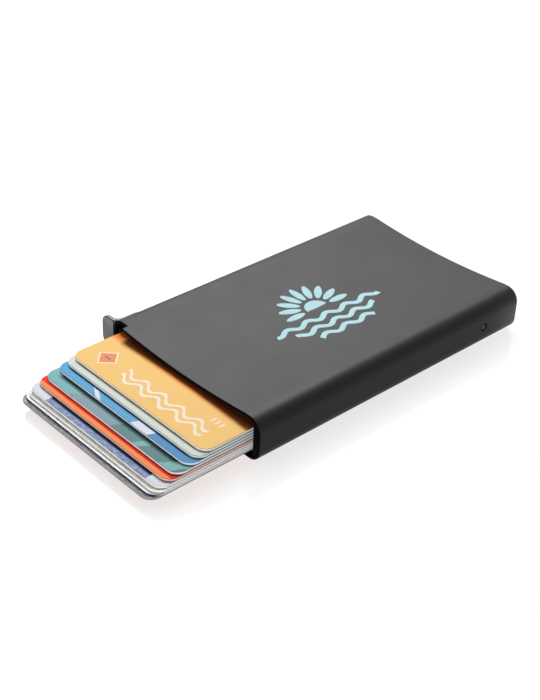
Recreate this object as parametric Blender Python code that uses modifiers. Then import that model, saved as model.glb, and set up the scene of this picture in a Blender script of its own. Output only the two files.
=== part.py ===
"""A slim card holder: a dished aluminium tube with nine cards fanned out of its mouth.

The case frame has X across the case, Y from the mouth (0) to the far end, and Z up
from the two strips that the case rests on. Every piece is placed in that frame. One
empty carries them all and moves the frame, so that the world's origin is the middle
of the underside of the whole model at rest.

A thumb tab on the left side moves a rail inside the case. The rail carries one end of
a stepped ejector arm. The arm's heel bears on the end plug, so the arm swings as the
rail moves, and each of its steps pushes one card by a different amount.
"""

import math

import bmesh
import bpy
from mathutils import Matrix, Vector

MM = 0.001

# Clearances and cutters
RUNNING_GAP = 0.3 * MM
SEAT_GAP = 0.1 * MM
OVERRUN = 2.0 * MM
MERGE_DISTANCE = 0.001 * MM

# Cards, at the size of a bank card
CARD_LENGTH = 85.6 * MM
CARD_WIDTH = 53.98 * MM
CARD_THICKNESS = 0.76 * MM
CARD_CORNER = 3.18 * MM
CARD_GAP = 0.06 * MM
STACK_GAP = 0.05 * MM
CARD_HEADROOM = 0.93 * MM
CARD_SIDE_GAP = 0.37 * MM
CARD_DRIFT = 0.44 * MM
CLOSED_INSET = 1.5 * MM
TOP_CARD_REACH = 14.85 * MM
FAN_DEPTH = 16.35 * MM
# How far along the fan each card lies, from the bottom card to the top one
FAN_SHARES = (1.0, 0.945, 0.884, 0.835, 0.682, 0.541, 0.303, 0.144, 0.0)
# How much of the drift to the right each card takes, in the same order
DRIFT_SHARES = (-0.3, 0.8, 1.0, 1.0, 1.0, 1.0, 1.0, 1.0, 0.77)
CARD_NAMES = (
    "card_9_grey",
    "card_8_white",
    "card_7_cream",
    "card_6_violet",
    "card_5_red",
    "card_4_teal",
    "card_3_blue",
    "card_2_pale",
    "card_1_orange",
)

# Case
CASE_WALL = 0.9 * MM
CASE_CORNER = 3.9 * MM
FACE_DISH = 1.35 * MM
REST_LAND = 1.5 * MM
NOTCH_DEPTH = 1.9 * MM
NOTCH_WIDTH = 6.4 * MM
DISH_STEPS = 32
CORNER_STEPS = 8

# End plug
PLUG_THICKNESS = 1.4 * MM
PLUG_RECESS = 0.4 * MM
HEEL_PAD_DEPTH = 1.15 * MM
HEEL_PAD_FROM_SPRING = 2.0 * MM
HEEL_PAD_HEIGHT = 6.6 * MM
PLUG_ARM_THICKNESS = 1.5 * MM
PLUG_ARM_HEIGHT = 5.6 * MM
PLUG_ARM_PAST_PIN = 3.5 * MM

# Retention pin, which holds the end plug from the right side
PIN_FROM_FAR_END = 13.9 * MM
PIN_RADIUS = 0.95 * MM
PIN_HOLE_RADIUS = 1.2 * MM
PIN_SINK = 0.12 * MM
PIN_DIMPLE_RADIUS = 0.55 * MM
PIN_DIMPLE_DEPTH = 0.3 * MM
PIN_CHAMFER = 0.12 * MM

# Guide strip beside the cards, in the right side channel
GUIDE_CARD_GAP = 0.3 * MM
GUIDE_SETBACK = 0.15 * MM

# Slider rail with its foot
RAIL_THICKNESS = 1.4 * MM
RAIL_HEIGHT = 6.0 * MM
RAIL_SETBACK = 0.5 * MM
RAIL_TAIL = 2.3 * MM
FOOT_THICKNESS = 0.5 * MM
FOOT_LENGTH = 3.6 * MM
FOOT_LIP = 0.3 * MM
FOOT_TAIL = 1.3 * MM
FOOT_HEEL_INSET = 1.0 * MM
FOOT_HEEL_RISE = 0.9 * MM
FOOT_SHOULDER_INSET = 0.4 * MM
FOOT_OVERLAP = 0.6 * MM

# Thumb tab and the two screws that hold it to the rail
TAB_GAP = 0.2 * MM
TAB_SETBACK = 0.05 * MM
TAB_PLATE_THICKNESS = 1.3 * MM
TAB_PLATE_WIDTH = 5.2 * MM
TAB_PLATE_HEIGHT = 9.3 * MM
TAB_PLATE_CORNER = 2.5 * MM
TAB_EDGE_BEVEL = 0.25 * MM
TAB_PAD_THICKNESS = 1.0 * MM
TAB_PAD_TIP_THICKNESS = 0.45 * MM
TAB_PAD_TAPER = 1.6 * MM
TAB_PAD_LENGTH = 8.2 * MM
TAB_PAD_HEIGHT = 7.6 * MM
TAB_RAMP_RADIUS = 2.9 * MM
NECK_SETBACK = 1.3 * MM
NECK_LENGTH = 5.6 * MM
NECK_HEIGHT = 2.4 * MM
SCREW_HEAD_RADIUS = 0.95 * MM
SCREW_HEAD_DEPTH = 0.4 * MM
SCREW_RADIUS = 0.55 * MM
SCREW_MARGIN = 1.4 * MM
SCREW_SLOT_WIDTH = 0.3 * MM
SCREW_SLOT_DEPTH = 0.2 * MM

# Ejector arm and its pivot rivet
ARM_WIDTH = 5.0 * MM
ARM_FLOOR_GAP = 0.1 * MM
ARM_FOOT_GAP = 0.15 * MM
STEP_DROP = 0.1 * MM
PUSH_GAP = 0.3 * MM
HEEL_GAP = 1.65 * MM
HEEL_SIDE_GAP = 0.6 * MM
PIVOT_RADIUS = 0.6 * MM
PIVOT_HEAD_RADIUS = 1.3 * MM
PIVOT_HEAD_HEIGHT = 0.35 * MM

# Card spring, a bowed steel leaf over the cards, and its rivets
SPRING_THICKNESS = 0.2 * MM
SPRING_WIDTH = 10.0 * MM
SPRING_BEND = 0.5 * MM
SPRING_FLANGE = 4.2 * MM
SPRING_BOW_START = 62.0 * MM
SPRING_BOW_LOW = 48.0 * MM
SPRING_TIP = 41.0 * MM
SPRING_TIP_LIFT = 0.35 * MM
RIVET_SPACING = 5.2 * MM
RIVET_RADIUS = 0.5 * MM
RIVET_HEAD_RADIUS = 0.95 * MM
RIVET_HEAD_HEIGHT = 0.4 * MM
RIVET_BITE = 0.9 * MM

# Felt strips between the top card and the case
FELT_FRONT = 4.0 * MM
FELT_LENGTH = 26.0 * MM
FELT_WIDTH = 6.0 * MM
FELT_FROM_CARD_EDGE = 8.0 * MM
FELT_BEVEL = 0.2 * MM

# Sizes that follow from the ones above
CARD_COUNT = len(CARD_NAMES)
CARD_PITCH = CARD_THICKNESS + CARD_GAP
STACK_HEIGHT = CARD_PITCH * (CARD_COUNT - 1) + CARD_THICKNESS
FLOOR_MIDDLE = FACE_DISH + CASE_WALL
CASE_HEIGHT = 2 * FLOOR_MIDDLE + STACK_GAP + STACK_HEIGHT + CARD_HEADROOM
MID_HEIGHT = CASE_HEIGHT / 2
SIDE_ROOM = RUNNING_GAP + RAIL_THICKNESS + CARD_SIDE_GAP + CARD_DRIFT
CASE_WIDTH = CARD_WIDTH + 2 * (SIDE_ROOM + CASE_WALL)
HALF_WIDTH = CASE_WIDTH / 2
INNER_HALF_WIDTH = HALF_WIDTH - CASE_WALL
CLOSED_REAR = CLOSED_INSET + CARD_LENGTH
ARM_CLOSED_Y = CLOSED_REAR + PUSH_GAP + ARM_WIDTH / 2
HEEL_PAD_Y = ARM_CLOSED_Y + ARM_WIDTH / 2 + HEEL_GAP
PLUG_INNER_Y = HEEL_PAD_Y + HEEL_PAD_DEPTH
PLUG_OUTER_Y = PLUG_INNER_Y + PLUG_THICKNESS
CASE_LENGTH = PLUG_OUTER_Y + PLUG_RECESS
STACK_BOTTOM = FLOOR_MIDDLE + STACK_GAP
STACK_TOP = STACK_BOTTOM + STACK_HEIGHT
CEILING_MIDDLE = CASE_HEIGHT - FLOOR_MIDDLE

DISH_HALF = HALF_WIDTH - CASE_CORNER - REST_LAND
DISH_RADIUS = (DISH_HALF**2 + FACE_DISH**2) / (2 * FACE_DISH)

RAIL_OUTER = RUNNING_GAP - INNER_HALF_WIDTH
RAIL_INNER = RAIL_OUTER + RAIL_THICKNESS
PLUG_ARM_OUTER = INNER_HALF_WIDTH - RUNNING_GAP
PLUG_ARM_INNER = PLUG_ARM_OUTER - PLUG_ARM_THICKNESS
PIN_Y = CASE_LENGTH - PIN_FROM_FAR_END
PLUG_ARM_FRONT = PIN_Y - PLUG_ARM_PAST_PIN
GUIDE_INNER = CARD_WIDTH / 2 + CARD_DRIFT + GUIDE_CARD_GAP
GUIDE_REAR = PLUG_ARM_FRONT - RUNNING_GAP

FOOT_INNER_FACE = RAIL_INNER + FOOT_LIP
PIVOT_X = FOOT_INNER_FACE + RUNNING_GAP + ARM_WIDTH / 2
ARM_REACH = PLUG_ARM_INNER - HEEL_SIDE_GAP - PIVOT_X
ARM_BOTTOM = FLOOR_MIDDLE + ARM_FLOOR_GAP
FOOT_TOP = ARM_BOTTOM - ARM_FOOT_GAP
FOOT_BOTTOM = FOOT_TOP - FOOT_THICKNESS

TAB_INNER = -(HALF_WIDTH + TAB_GAP)
TAB_OUTER = TAB_INNER - TAB_PLATE_WIDTH
TAB_PAD_OUTER = TAB_INNER - TAB_PAD_THICKNESS
TAB_FRONT = NOTCH_DEPTH + TAB_SETBACK
TAB_PLATE_REAR = TAB_FRONT + TAB_PLATE_THICKNESS
NECK_FRONT = TAB_PLATE_REAR + NECK_SETBACK
NECK_REAR = NECK_FRONT + NECK_LENGTH


def card_reach(level):
    """How far a card stands out of the mouth at rest. Level 0 is the bottom card."""
    return TOP_CARD_REACH + FAN_DEPTH * FAN_SHARES[level]


def card_travel(level):
    """How far a card moves from rest until its front edge lies inside the mouth."""
    return card_reach(level) + CLOSED_INSET


def card_bottom(level):
    """The height of a card's underside."""
    return STACK_BOTTOM + CARD_PITCH * level


def step_top(level):
    """The height of the arm's step for a card, just below the card's own top."""
    return card_bottom(level) + CARD_THICKNESS - STEP_DROP


def slider_travel():
    """The tab moves as far as the bottom card, which the arm's pivot end pushes."""
    return card_travel(0)


def arm_swing():
    """The arm's angle at rest, at which its heel still bears on the end plug's pad."""
    half = ARM_WIDTH / 2
    lift = (slider_travel() + half) / math.hypot(ARM_REACH, half)
    return math.asin(lift) - math.atan2(half, ARM_REACH)


def step_spacing():
    """The steps' distance along the arm: the last one pushes the top card."""
    swing = arm_swing()
    top = CARD_COUNT - 1
    push = slider_travel() - card_travel(top) - ARM_WIDTH / 2 * (1 - math.cos(swing))
    return push / math.sin(swing) / top


def face_height(across, inset):
    """The height of the lower face, inset into the wall, at a distance from its middle."""
    arc = FACE_DISH - DISH_RADIUS + math.sqrt((DISH_RADIUS + inset) ** 2 - across**2)
    return max(inset, arc)


def arc_points(centre, radius, start, end, steps):
    """Points on an arc, with its angles in degrees."""
    points = []
    for step in range(steps + 1):
        angle = math.radians(start + (end - start) * step / steps)
        points.append((centre[0] + radius * math.cos(angle), centre[1] + radius * math.sin(angle)))
    return points


def case_outline(inset):
    """The case's section, inset into its wall: four round corners and two dished faces."""
    radius = CASE_CORNER - inset
    side = HALF_WIDTH - CASE_CORNER
    top = CASE_HEIGHT - CASE_CORNER
    edge = math.sqrt((DISH_RADIUS + inset) ** 2 - (DISH_RADIUS - FACE_DISH + inset) ** 2)
    dish = []
    for step in range(DISH_STEPS + 1):
        across = edge * (2 * step / DISH_STEPS - 1)
        dish.append((across, face_height(across, inset)))
    outline = list(dish)
    outline += arc_points((side, CASE_CORNER), radius, -90, 0, CORNER_STEPS)
    outline += arc_points((side, top), radius, 0, 90, CORNER_STEPS)
    outline += [(-across, CASE_HEIGHT - height) for across, height in dish]
    outline += arc_points((-side, top), radius, 90, 180, CORNER_STEPS)
    outline += arc_points((-side, CASE_CORNER), radius, 180, 270, CORNER_STEPS)
    return outline


def rounded_box_outline(low, high, radius, steps):
    """A rectangle with four round corners."""
    outline = arc_points((high[0] - radius, low[1] + radius), radius, -90, 0, steps)
    outline += arc_points((high[0] - radius, high[1] - radius), radius, 0, 90, steps)
    outline += arc_points((low[0] + radius, high[1] - radius), radius, 90, 180, steps)
    outline += arc_points((low[0] + radius, low[1] + radius), radius, 180, 270, steps)
    return outline


# How an outline's two directions and its depth lie in a piece's own axes
LYING = Matrix.Identity(4)
ACROSS_Y = Matrix(((1, 0, 0, 0), (0, 0, -1, 0), (0, 1, 0, 0), (0, 0, 0, 1)))
ACROSS_X = Matrix(((0, 0, 1, 0), (1, 0, 0, 0), (0, 1, 0, 0), (0, 0, 0, 1)))


def new_collection(name):
    made = bpy.data.collections.new(name)
    bpy.context.scene.collection.children.link(made)
    return made


def clear_scene():
    for obj in list(bpy.data.objects):
        bpy.data.objects.remove(obj, do_unlink=True)


def prism_mesh(name, outlines, depth, facing, centre):
    """A flat outline, or one with holes, given a depth. Its caps are welded on."""
    curve = bpy.data.curves.new(name, "CURVE")
    curve.dimensions = "2D"
    curve.fill_mode = "BOTH"
    curve.extrude = depth / 2
    for outline in outlines:
        spline = curve.splines.new("POLY")
        spline.points.add(len(outline) - 1)
        for point, (across, along) in zip(spline.points, outline):
            point.co = (across, along, 0, 1)
        spline.use_cyclic_u = True
    holder = bpy.data.objects.new(name, curve)
    bpy.context.scene.collection.objects.link(holder)
    graph = bpy.context.evaluated_depsgraph_get()
    mesh = bpy.data.meshes.new_from_object(holder.evaluated_get(graph))
    bpy.data.objects.remove(holder, do_unlink=True)
    bpy.data.curves.remove(curve)
    shape = bmesh.new()
    shape.from_mesh(mesh)
    bmesh.ops.remove_doubles(shape, verts=shape.verts, dist=MERGE_DISTANCE)
    bmesh.ops.transform(shape, matrix=Matrix.Translation(centre) @ facing, verts=shape.verts)
    bmesh.ops.recalc_face_normals(shape, faces=shape.faces)
    shape.to_mesh(mesh)
    shape.free()
    return mesh


def box_mesh(name, low, high):
    """A box between two corners."""
    low = Vector(low)
    high = Vector(high)
    shape = bmesh.new()
    bmesh.ops.create_cube(shape, size=1)
    size = Matrix.Diagonal((*(high - low), 1))
    place = Matrix.Translation((low + high) / 2)
    bmesh.ops.transform(shape, matrix=place @ size, verts=shape.verts)
    mesh = bpy.data.meshes.new(name)
    shape.to_mesh(mesh)
    shape.free()
    return mesh


def cylinder_mesh(name, radius, depth, axis, centre, segments=28):
    """A cylinder along X, Y or Z."""
    turns = {
        "X": Matrix.Rotation(math.radians(90), 4, "Y"),
        "Y": Matrix.Rotation(math.radians(90), 4, "X"),
        "Z": Matrix.Identity(4),
    }
    shape = bmesh.new()
    bmesh.ops.create_cone(
        shape,
        cap_ends=True,
        segments=segments,
        radius1=radius,
        radius2=radius,
        depth=depth,
        matrix=Matrix.Translation(centre) @ turns[axis],
    )
    mesh = bpy.data.meshes.new(name)
    shape.to_mesh(mesh)
    shape.free()
    return mesh


def turned_mesh(name, profile):
    """A profile of radius and height, from the top down, to be turned about Z."""
    mesh = bpy.data.meshes.new(name)
    points = [(radius, 0, height) for radius, height in profile]
    edges = [(start, start + 1) for start in range(len(points) - 1)]
    mesh.from_pydata(points, edges, [])
    return mesh


class Holder:
    """The scene's two collections, the empty that carries every piece, and its materials."""

    def __init__(self):
        clear_scene()
        self.pieces = new_collection("card_holder")
        self.cutters = new_collection("cutters")
        self.cutters.hide_render = True
        self.carrier = bpy.data.objects.new("holder_frame", None)
        self.pieces.objects.link(self.carrier)
        middle_x = (TAB_OUTER + HALF_WIDTH) / 2
        middle_y = (CASE_LENGTH - card_reach(0)) / 2
        self.carrier.location = (-middle_x, -middle_y, 0)

    def piece(self, name, mesh, material, place=(0, 0, 0)):
        """A named piece at its place in the case frame."""
        mesh.name = name
        mesh.materials.append(material)
        obj = bpy.data.objects.new(name, mesh)
        self.pieces.objects.link(obj)
        obj.parent = self.carrier
        obj.location = place
        mesh.shade_smooth()
        mesh.set_sharp_from_angle(angle=math.radians(30))
        return obj

    def tool(self, name, mesh):
        """A helper shape that cuts a piece or is joined to it."""
        obj = bpy.data.objects.new(name, mesh)
        self.cutters.objects.link(obj)
        obj.parent = self.carrier
        obj.hide_render = True
        obj.display_type = "WIRE"
        return obj

    def combine(self, obj, operation, mesh):
        """Cuts the mesh from a piece, or joins it on. The mesh is in the case frame."""
        helper = self.tool(f"{obj.name}_{mesh.name}", mesh)
        modifier = obj.modifiers.new(mesh.name, "BOOLEAN")
        modifier.operation = operation
        modifier.solver = "EXACT"
        modifier.object = helper
        return helper


def linear(red, green, blue):
    """A colour given as 0 to 255, in the linear values that a shader takes."""
    values = []
    for value in (red, green, blue):
        share = value / 255
        values.append(share / 12.92 if share <= 0.04045 else ((share + 0.055) / 1.055) ** 2.4)
    return (*values, 1.0)


def new_material(name, colour, roughness, metallic=0.0):
    made = bpy.data.materials.new(name)
    made.use_nodes = True
    shader = made.node_tree.nodes["Principled BSDF"]
    shader.inputs["Base Color"].default_value = linear(*colour)
    shader.inputs["Roughness"].default_value = roughness
    shader.inputs["Metallic"].default_value = metallic
    return made


def add_bevel(obj, width, segments=2):
    modifier = obj.modifiers.new("rounded_edges", "BEVEL")
    modifier.width = width
    modifier.segments = segments
    modifier.limit_method = "ANGLE"
    modifier.angle_limit = math.radians(40)
    return modifier


def add_turning(obj, steps=24):
    modifier = obj.modifiers.new("turned", "SCREW")
    modifier.axis = "Z"
    modifier.steps = steps
    modifier.render_steps = steps
    modifier.use_merge_vertices = True
    modifier.merge_threshold = MERGE_DISTANCE
    modifier.use_smooth_shade = True
    return modifier


def case_shell(holder):
    """The tube, with the tab's slot, the corner notch and the pin's hole cut in it."""
    outlines = [case_outline(0), case_outline(CASE_WALL)]
    middle = (0, CASE_LENGTH / 2, 0)
    tube = prism_mesh("tube", outlines, CASE_LENGTH, ACROSS_Y, middle)
    finish = new_material("anodised_graphite", (84, 84, 86), 0.42, 0.75)
    case = holder.piece("case_shell", tube, finish)

    slot_low = (NECK_FRONT - RUNNING_GAP, MID_HEIGHT - NECK_HEIGHT / 2 - RUNNING_GAP)
    slot_high = (
        NECK_REAR + slider_travel() + RUNNING_GAP,
        MID_HEIGHT + NECK_HEIGHT / 2 + RUNNING_GAP,
    )
    slot_round = (slot_high[1] - slot_low[1]) / 2
    slot_outline = rounded_box_outline(slot_low, slot_high, slot_round, CORNER_STEPS)
    wall_middle = (-(HALF_WIDTH + INNER_HALF_WIDTH) / 2, 0, 0)
    slot_depth = CASE_WALL + OVERRUN
    slot = prism_mesh("tab_slot", [slot_outline], slot_depth, ACROSS_X, wall_middle)
    holder.combine(case, "DIFFERENCE", slot)

    notch_low = (-HALF_WIDTH - OVERRUN, -OVERRUN, -OVERRUN)
    notch_high = (NOTCH_WIDTH - HALF_WIDTH, NOTCH_DEPTH, CASE_HEIGHT + OVERRUN)
    holder.combine(case, "DIFFERENCE", box_mesh("corner_notch", notch_low, notch_high))

    hole_centre = ((HALF_WIDTH + INNER_HALF_WIDTH) / 2, PIN_Y, MID_HEIGHT)
    hole = cylinder_mesh("pin_hole", PIN_HOLE_RADIUS, CASE_WALL + OVERRUN, "X", hole_centre)
    holder.combine(case, "DIFFERENCE", hole)
    return case


def end_plug(holder, plastic):
    """The plastic plug that closes the far end, with an arm for the pin and a heel pad."""
    inset = CASE_WALL + SEAT_GAP
    middle = (0, (PLUG_INNER_Y + PLUG_OUTER_Y) / 2, 0)
    plate = prism_mesh("plate", [case_outline(inset)], PLUG_THICKNESS, ACROSS_Y, middle)
    plug = holder.piece("end_plug", plate, plastic)

    joined_y = PLUG_INNER_Y + PLUG_THICKNESS / 2
    half_arm = PLUG_ARM_HEIGHT / 2
    arm_low = (PLUG_ARM_INNER, PLUG_ARM_FRONT, MID_HEIGHT - half_arm)
    arm_high = (PLUG_ARM_OUTER, joined_y, MID_HEIGHT + half_arm)
    holder.combine(plug, "UNION", box_mesh("pin_arm", arm_low, arm_high))

    pad_start = SPRING_WIDTH / 2 + HEEL_PAD_FROM_SPRING
    half_pad = HEEL_PAD_HEIGHT / 2
    pad_low = (pad_start, HEEL_PAD_Y, MID_HEIGHT - half_pad)
    pad_high = (PLUG_ARM_INNER + PLUG_ARM_THICKNESS / 2, joined_y, MID_HEIGHT + half_pad)
    holder.combine(plug, "UNION", box_mesh("heel_pad", pad_low, pad_high))

    arm_middle = ((PLUG_ARM_INNER + PLUG_ARM_OUTER) / 2, PIN_Y, MID_HEIGHT)
    bore_radius = PIN_RADIUS + SEAT_GAP
    bore_depth = PLUG_ARM_THICKNESS + OVERRUN
    bore = cylinder_mesh("pin_bore", bore_radius, bore_depth, "X", arm_middle)
    holder.combine(plug, "DIFFERENCE", bore)

    for side in (-1, 1):
        depth = RIVET_BITE + SEAT_GAP + OVERRUN
        hole_y = PLUG_INNER_Y + RIVET_BITE + SEAT_GAP - depth / 2
        centre = (side * RIVET_SPACING / 2, hole_y, rivet_height())
        hole = cylinder_mesh(f"rivet_hole_{side}", RIVET_RADIUS + SEAT_GAP, depth, "Y", centre)
        holder.combine(plug, "DIFFERENCE", hole)
    return plug


def card_guide(holder, plastic):
    """The strip that fills the right side channel, from the mouth to the end plug's arm."""
    side = HALF_WIDTH - CASE_CORNER
    radius = CASE_CORNER - CASE_WALL - SEAT_GAP
    turn = math.degrees(math.acos((GUIDE_INNER - side) / radius))
    outline = arc_points((side, CASE_CORNER), radius, -turn, 0, CORNER_STEPS)
    outline += arc_points((side, CASE_HEIGHT - CASE_CORNER), radius, 0, turn, CORNER_STEPS)
    middle = (0, (GUIDE_SETBACK + GUIDE_REAR) / 2, 0)
    strip = prism_mesh("strip", [outline], GUIDE_REAR - GUIDE_SETBACK, ACROSS_Y, middle)
    return holder.piece("card_guide", strip, plastic)


def retention_pin(holder):
    """The pin that shows on the right side, sunk a little below the surface."""
    end = HALF_WIDTH - PIN_SINK
    length = end - PLUG_ARM_INNER - SEAT_GAP
    profile = [
        (0, -PIN_DIMPLE_DEPTH),
        (PIN_DIMPLE_RADIUS, 0),
        (PIN_RADIUS - PIN_CHAMFER, 0),
        (PIN_RADIUS, -PIN_CHAMFER),
        (PIN_RADIUS, -length),
        (0, -length),
    ]
    steel = new_material("pin_steel", (120, 116, 118), 0.35, 1.0)
    pin = holder.piece("retention_pin", turned_mesh("pin", profile), steel, (end, PIN_Y, MID_HEIGHT))
    pin.rotation_euler = (0, math.radians(90), 0)
    add_turning(pin)
    return pin


def spring_path():
    """The leaf's line from its flange, over a bend and the bow, to the lifted tip."""
    run = CEILING_MIDDLE - SEAT_GAP - SPRING_THICKNESS / 2
    touch = STACK_TOP + SEAT_GAP + SPRING_THICKNESS / 2
    flange_y = PLUG_INNER_Y - SEAT_GAP - SPRING_THICKNESS / 2
    path = [(flange_y, run - SPRING_BEND - SPRING_FLANGE)]
    bend_centre = (flange_y - SPRING_BEND, run - SPRING_BEND)
    path += arc_points(bend_centre, SPRING_BEND, 0, 90, CORNER_STEPS)
    stretches = (
        (SPRING_BOW_START, SPRING_BOW_LOW, run, touch),
        (SPRING_BOW_LOW, SPRING_TIP, touch, touch + SPRING_TIP_LIFT),
    )
    for start, end, from_height, to_height in stretches:
        for step in range(CORNER_STEPS + 1):
            share = step / CORNER_STEPS
            ease = (1 - math.cos(math.pi * share)) / 2
            point = (start + (end - start) * share, from_height + (to_height - from_height) * ease)
            if point != path[-1]:
                path.append(point)
    return path


def card_spring(holder):
    """A thin leaf that presses on the top card. It is fixed to the end plug."""
    shape = bmesh.new()
    chain = [shape.verts.new((-SPRING_WIDTH / 2, along, height)) for along, height in spring_path()]
    for start, end in zip(chain, chain[1:]):
        shape.edges.new((start, end))
    made = bmesh.ops.extrude_edge_only(shape, edges=list(shape.edges))
    moved = [item for item in made["geom"] if isinstance(item, bmesh.types.BMVert)]
    bmesh.ops.translate(shape, vec=(SPRING_WIDTH, 0, 0), verts=moved)
    bmesh.ops.recalc_face_normals(shape, faces=shape.faces)
    mesh = bpy.data.meshes.new("leaf")
    shape.to_mesh(mesh)
    shape.free()
    steel = new_material("spring_steel", (165, 165, 168), 0.3, 1.0)
    spring = holder.piece("card_spring", mesh, steel)
    wall = spring.modifiers.new("leaf_thickness", "SOLIDIFY")
    wall.thickness = SPRING_THICKNESS
    wall.offset = 0
    wall.use_even_offset = True
    for side in (-1, 1):
        centre = (side * RIVET_SPACING / 2, PLUG_INNER_Y, rivet_height())
        depth = 2 * (SPRING_THICKNESS + SEAT_GAP + OVERRUN)
        hole = cylinder_mesh(f"rivet_hole_{side}", RIVET_RADIUS + SEAT_GAP, depth, "Y", centre)
        holder.combine(spring, "DIFFERENCE", hole)
    return spring


def rivet_height():
    """The rivets sit in the middle of the leaf's flange."""
    run = CEILING_MIDDLE - SEAT_GAP - SPRING_THICKNESS / 2
    return run - SPRING_BEND - SPRING_FLANGE / 2


def spring_rivet(holder, name, side, steel):
    """A small domed rivet through the leaf's flange into the end plug."""
    head_y = PLUG_INNER_Y - 2 * SEAT_GAP - SPRING_THICKNESS
    shank = 2 * SEAT_GAP + SPRING_THICKNESS + RIVET_BITE
    dome = [(0, RIVET_HEAD_HEIGHT), (RIVET_HEAD_RADIUS / 2, RIVET_HEAD_HEIGHT * 3 / 4)]
    profile = dome + [
        (RIVET_HEAD_RADIUS, 0),
        (RIVET_RADIUS, 0),
        (RIVET_RADIUS, -shank),
        (0, -shank),
    ]
    place = (side * RIVET_SPACING / 2, head_y, rivet_height())
    rivet = holder.piece(name, turned_mesh(name, profile), steel, place)
    rivet.rotation_euler = (math.radians(90), 0, 0)
    add_turning(rivet, 20)
    return rivet


def felt_strip(holder, name, side, felt):
    """A strip that fills the room between the top card and the dished upper face."""
    inner_edge = CARD_WIDTH / 2 - FELT_FROM_CARD_EDGE - FELT_WIDTH
    top = CASE_HEIGHT - face_height(inner_edge, CASE_WALL) - SEAT_GAP
    bottom = STACK_TOP + SEAT_GAP
    half = Vector((FELT_WIDTH / 2, FELT_LENGTH / 2, (top - bottom) / 2))
    across = side * (inner_edge + FELT_WIDTH / 2)
    place = (across, FELT_FRONT + FELT_LENGTH / 2, (top + bottom) / 2)
    strip = holder.piece(name, box_mesh(name, -half, half), felt, place)
    add_bevel(strip, FELT_BEVEL)
    return strip


def slider_rail(holder):
    """The rail in the left side channel, with a foot under the ejector arm's pivot."""
    pivot_y = ARM_CLOSED_Y - slider_travel()
    front = NOTCH_DEPTH + RAIL_SETBACK
    half = RAIL_HEIGHT / 2
    low = (RAIL_OUTER, front, MID_HEIGHT - half)
    high = (RAIL_INNER, pivot_y + RAIL_TAIL, MID_HEIGHT + half)
    plastic = new_material("slider_plastic", (32, 32, 34), 0.45)
    rail = holder.piece("slider_rail", box_mesh("rail", low, high), plastic)

    web_top = low[2] + FOOT_OVERLAP
    outline = [
        (RAIL_OUTER + FOOT_HEEL_INSET, FOOT_BOTTOM),
        (PIVOT_X + FOOT_TAIL, FOOT_BOTTOM),
        (PIVOT_X + FOOT_TAIL, FOOT_TOP),
        (FOOT_INNER_FACE, FOOT_TOP),
        (FOOT_INNER_FACE, web_top),
        (RAIL_OUTER + FOOT_SHOULDER_INSET, web_top),
        (RAIL_OUTER + FOOT_SHOULDER_INSET, FOOT_BOTTOM + FOOT_HEEL_RISE),
    ]
    foot = prism_mesh("foot", [outline], FOOT_LENGTH, ACROSS_Y, (0, pivot_y, 0))
    holder.combine(rail, "UNION", foot)

    bore = cylinder_mesh(
        "pivot_bore",
        PIVOT_RADIUS + SEAT_GAP,
        FOOT_THICKNESS + OVERRUN,
        "Z",
        (PIVOT_X, pivot_y, (FOOT_TOP + FOOT_BOTTOM) / 2),
    )
    holder.combine(rail, "DIFFERENCE", bore)
    for number, along in enumerate(screw_places()):
        centre = ((RAIL_OUTER + RAIL_INNER) / 2, along, MID_HEIGHT)
        hole_radius = SCREW_RADIUS + SEAT_GAP
        hole_depth = RAIL_THICKNESS + OVERRUN
        hole = cylinder_mesh(f"screw_hole_{number}", hole_radius, hole_depth, "X", centre)
        holder.combine(rail, "DIFFERENCE", hole)
    return rail


def screw_places():
    """Where the tab's two screws lie along the case."""
    return (NECK_FRONT + SCREW_MARGIN, NECK_REAR - SCREW_MARGIN)


def tab_side_outline():
    """The tab seen from above: an upright plate, a hollow ramp and a thin pad."""
    ramp_centre = (TAB_PAD_OUTER - TAB_RAMP_RADIUS, TAB_PLATE_REAR + TAB_RAMP_RADIUS)
    pad_rear = TAB_PLATE_REAR + TAB_PAD_LENGTH
    tip = TAB_INNER - TAB_PAD_TIP_THICKNESS
    outline = [(TAB_INNER, TAB_FRONT + TAB_PLATE_THICKNESS / 2)]
    outline += [(ramp_centre[0], TAB_FRONT + TAB_PLATE_THICKNESS / 2)]
    outline += arc_points(ramp_centre, TAB_RAMP_RADIUS, -90, 0, CORNER_STEPS)
    outline += [(TAB_PAD_OUTER, pad_rear - TAB_PAD_TAPER), (tip, pad_rear), (TAB_INNER, pad_rear)]
    return outline


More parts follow.
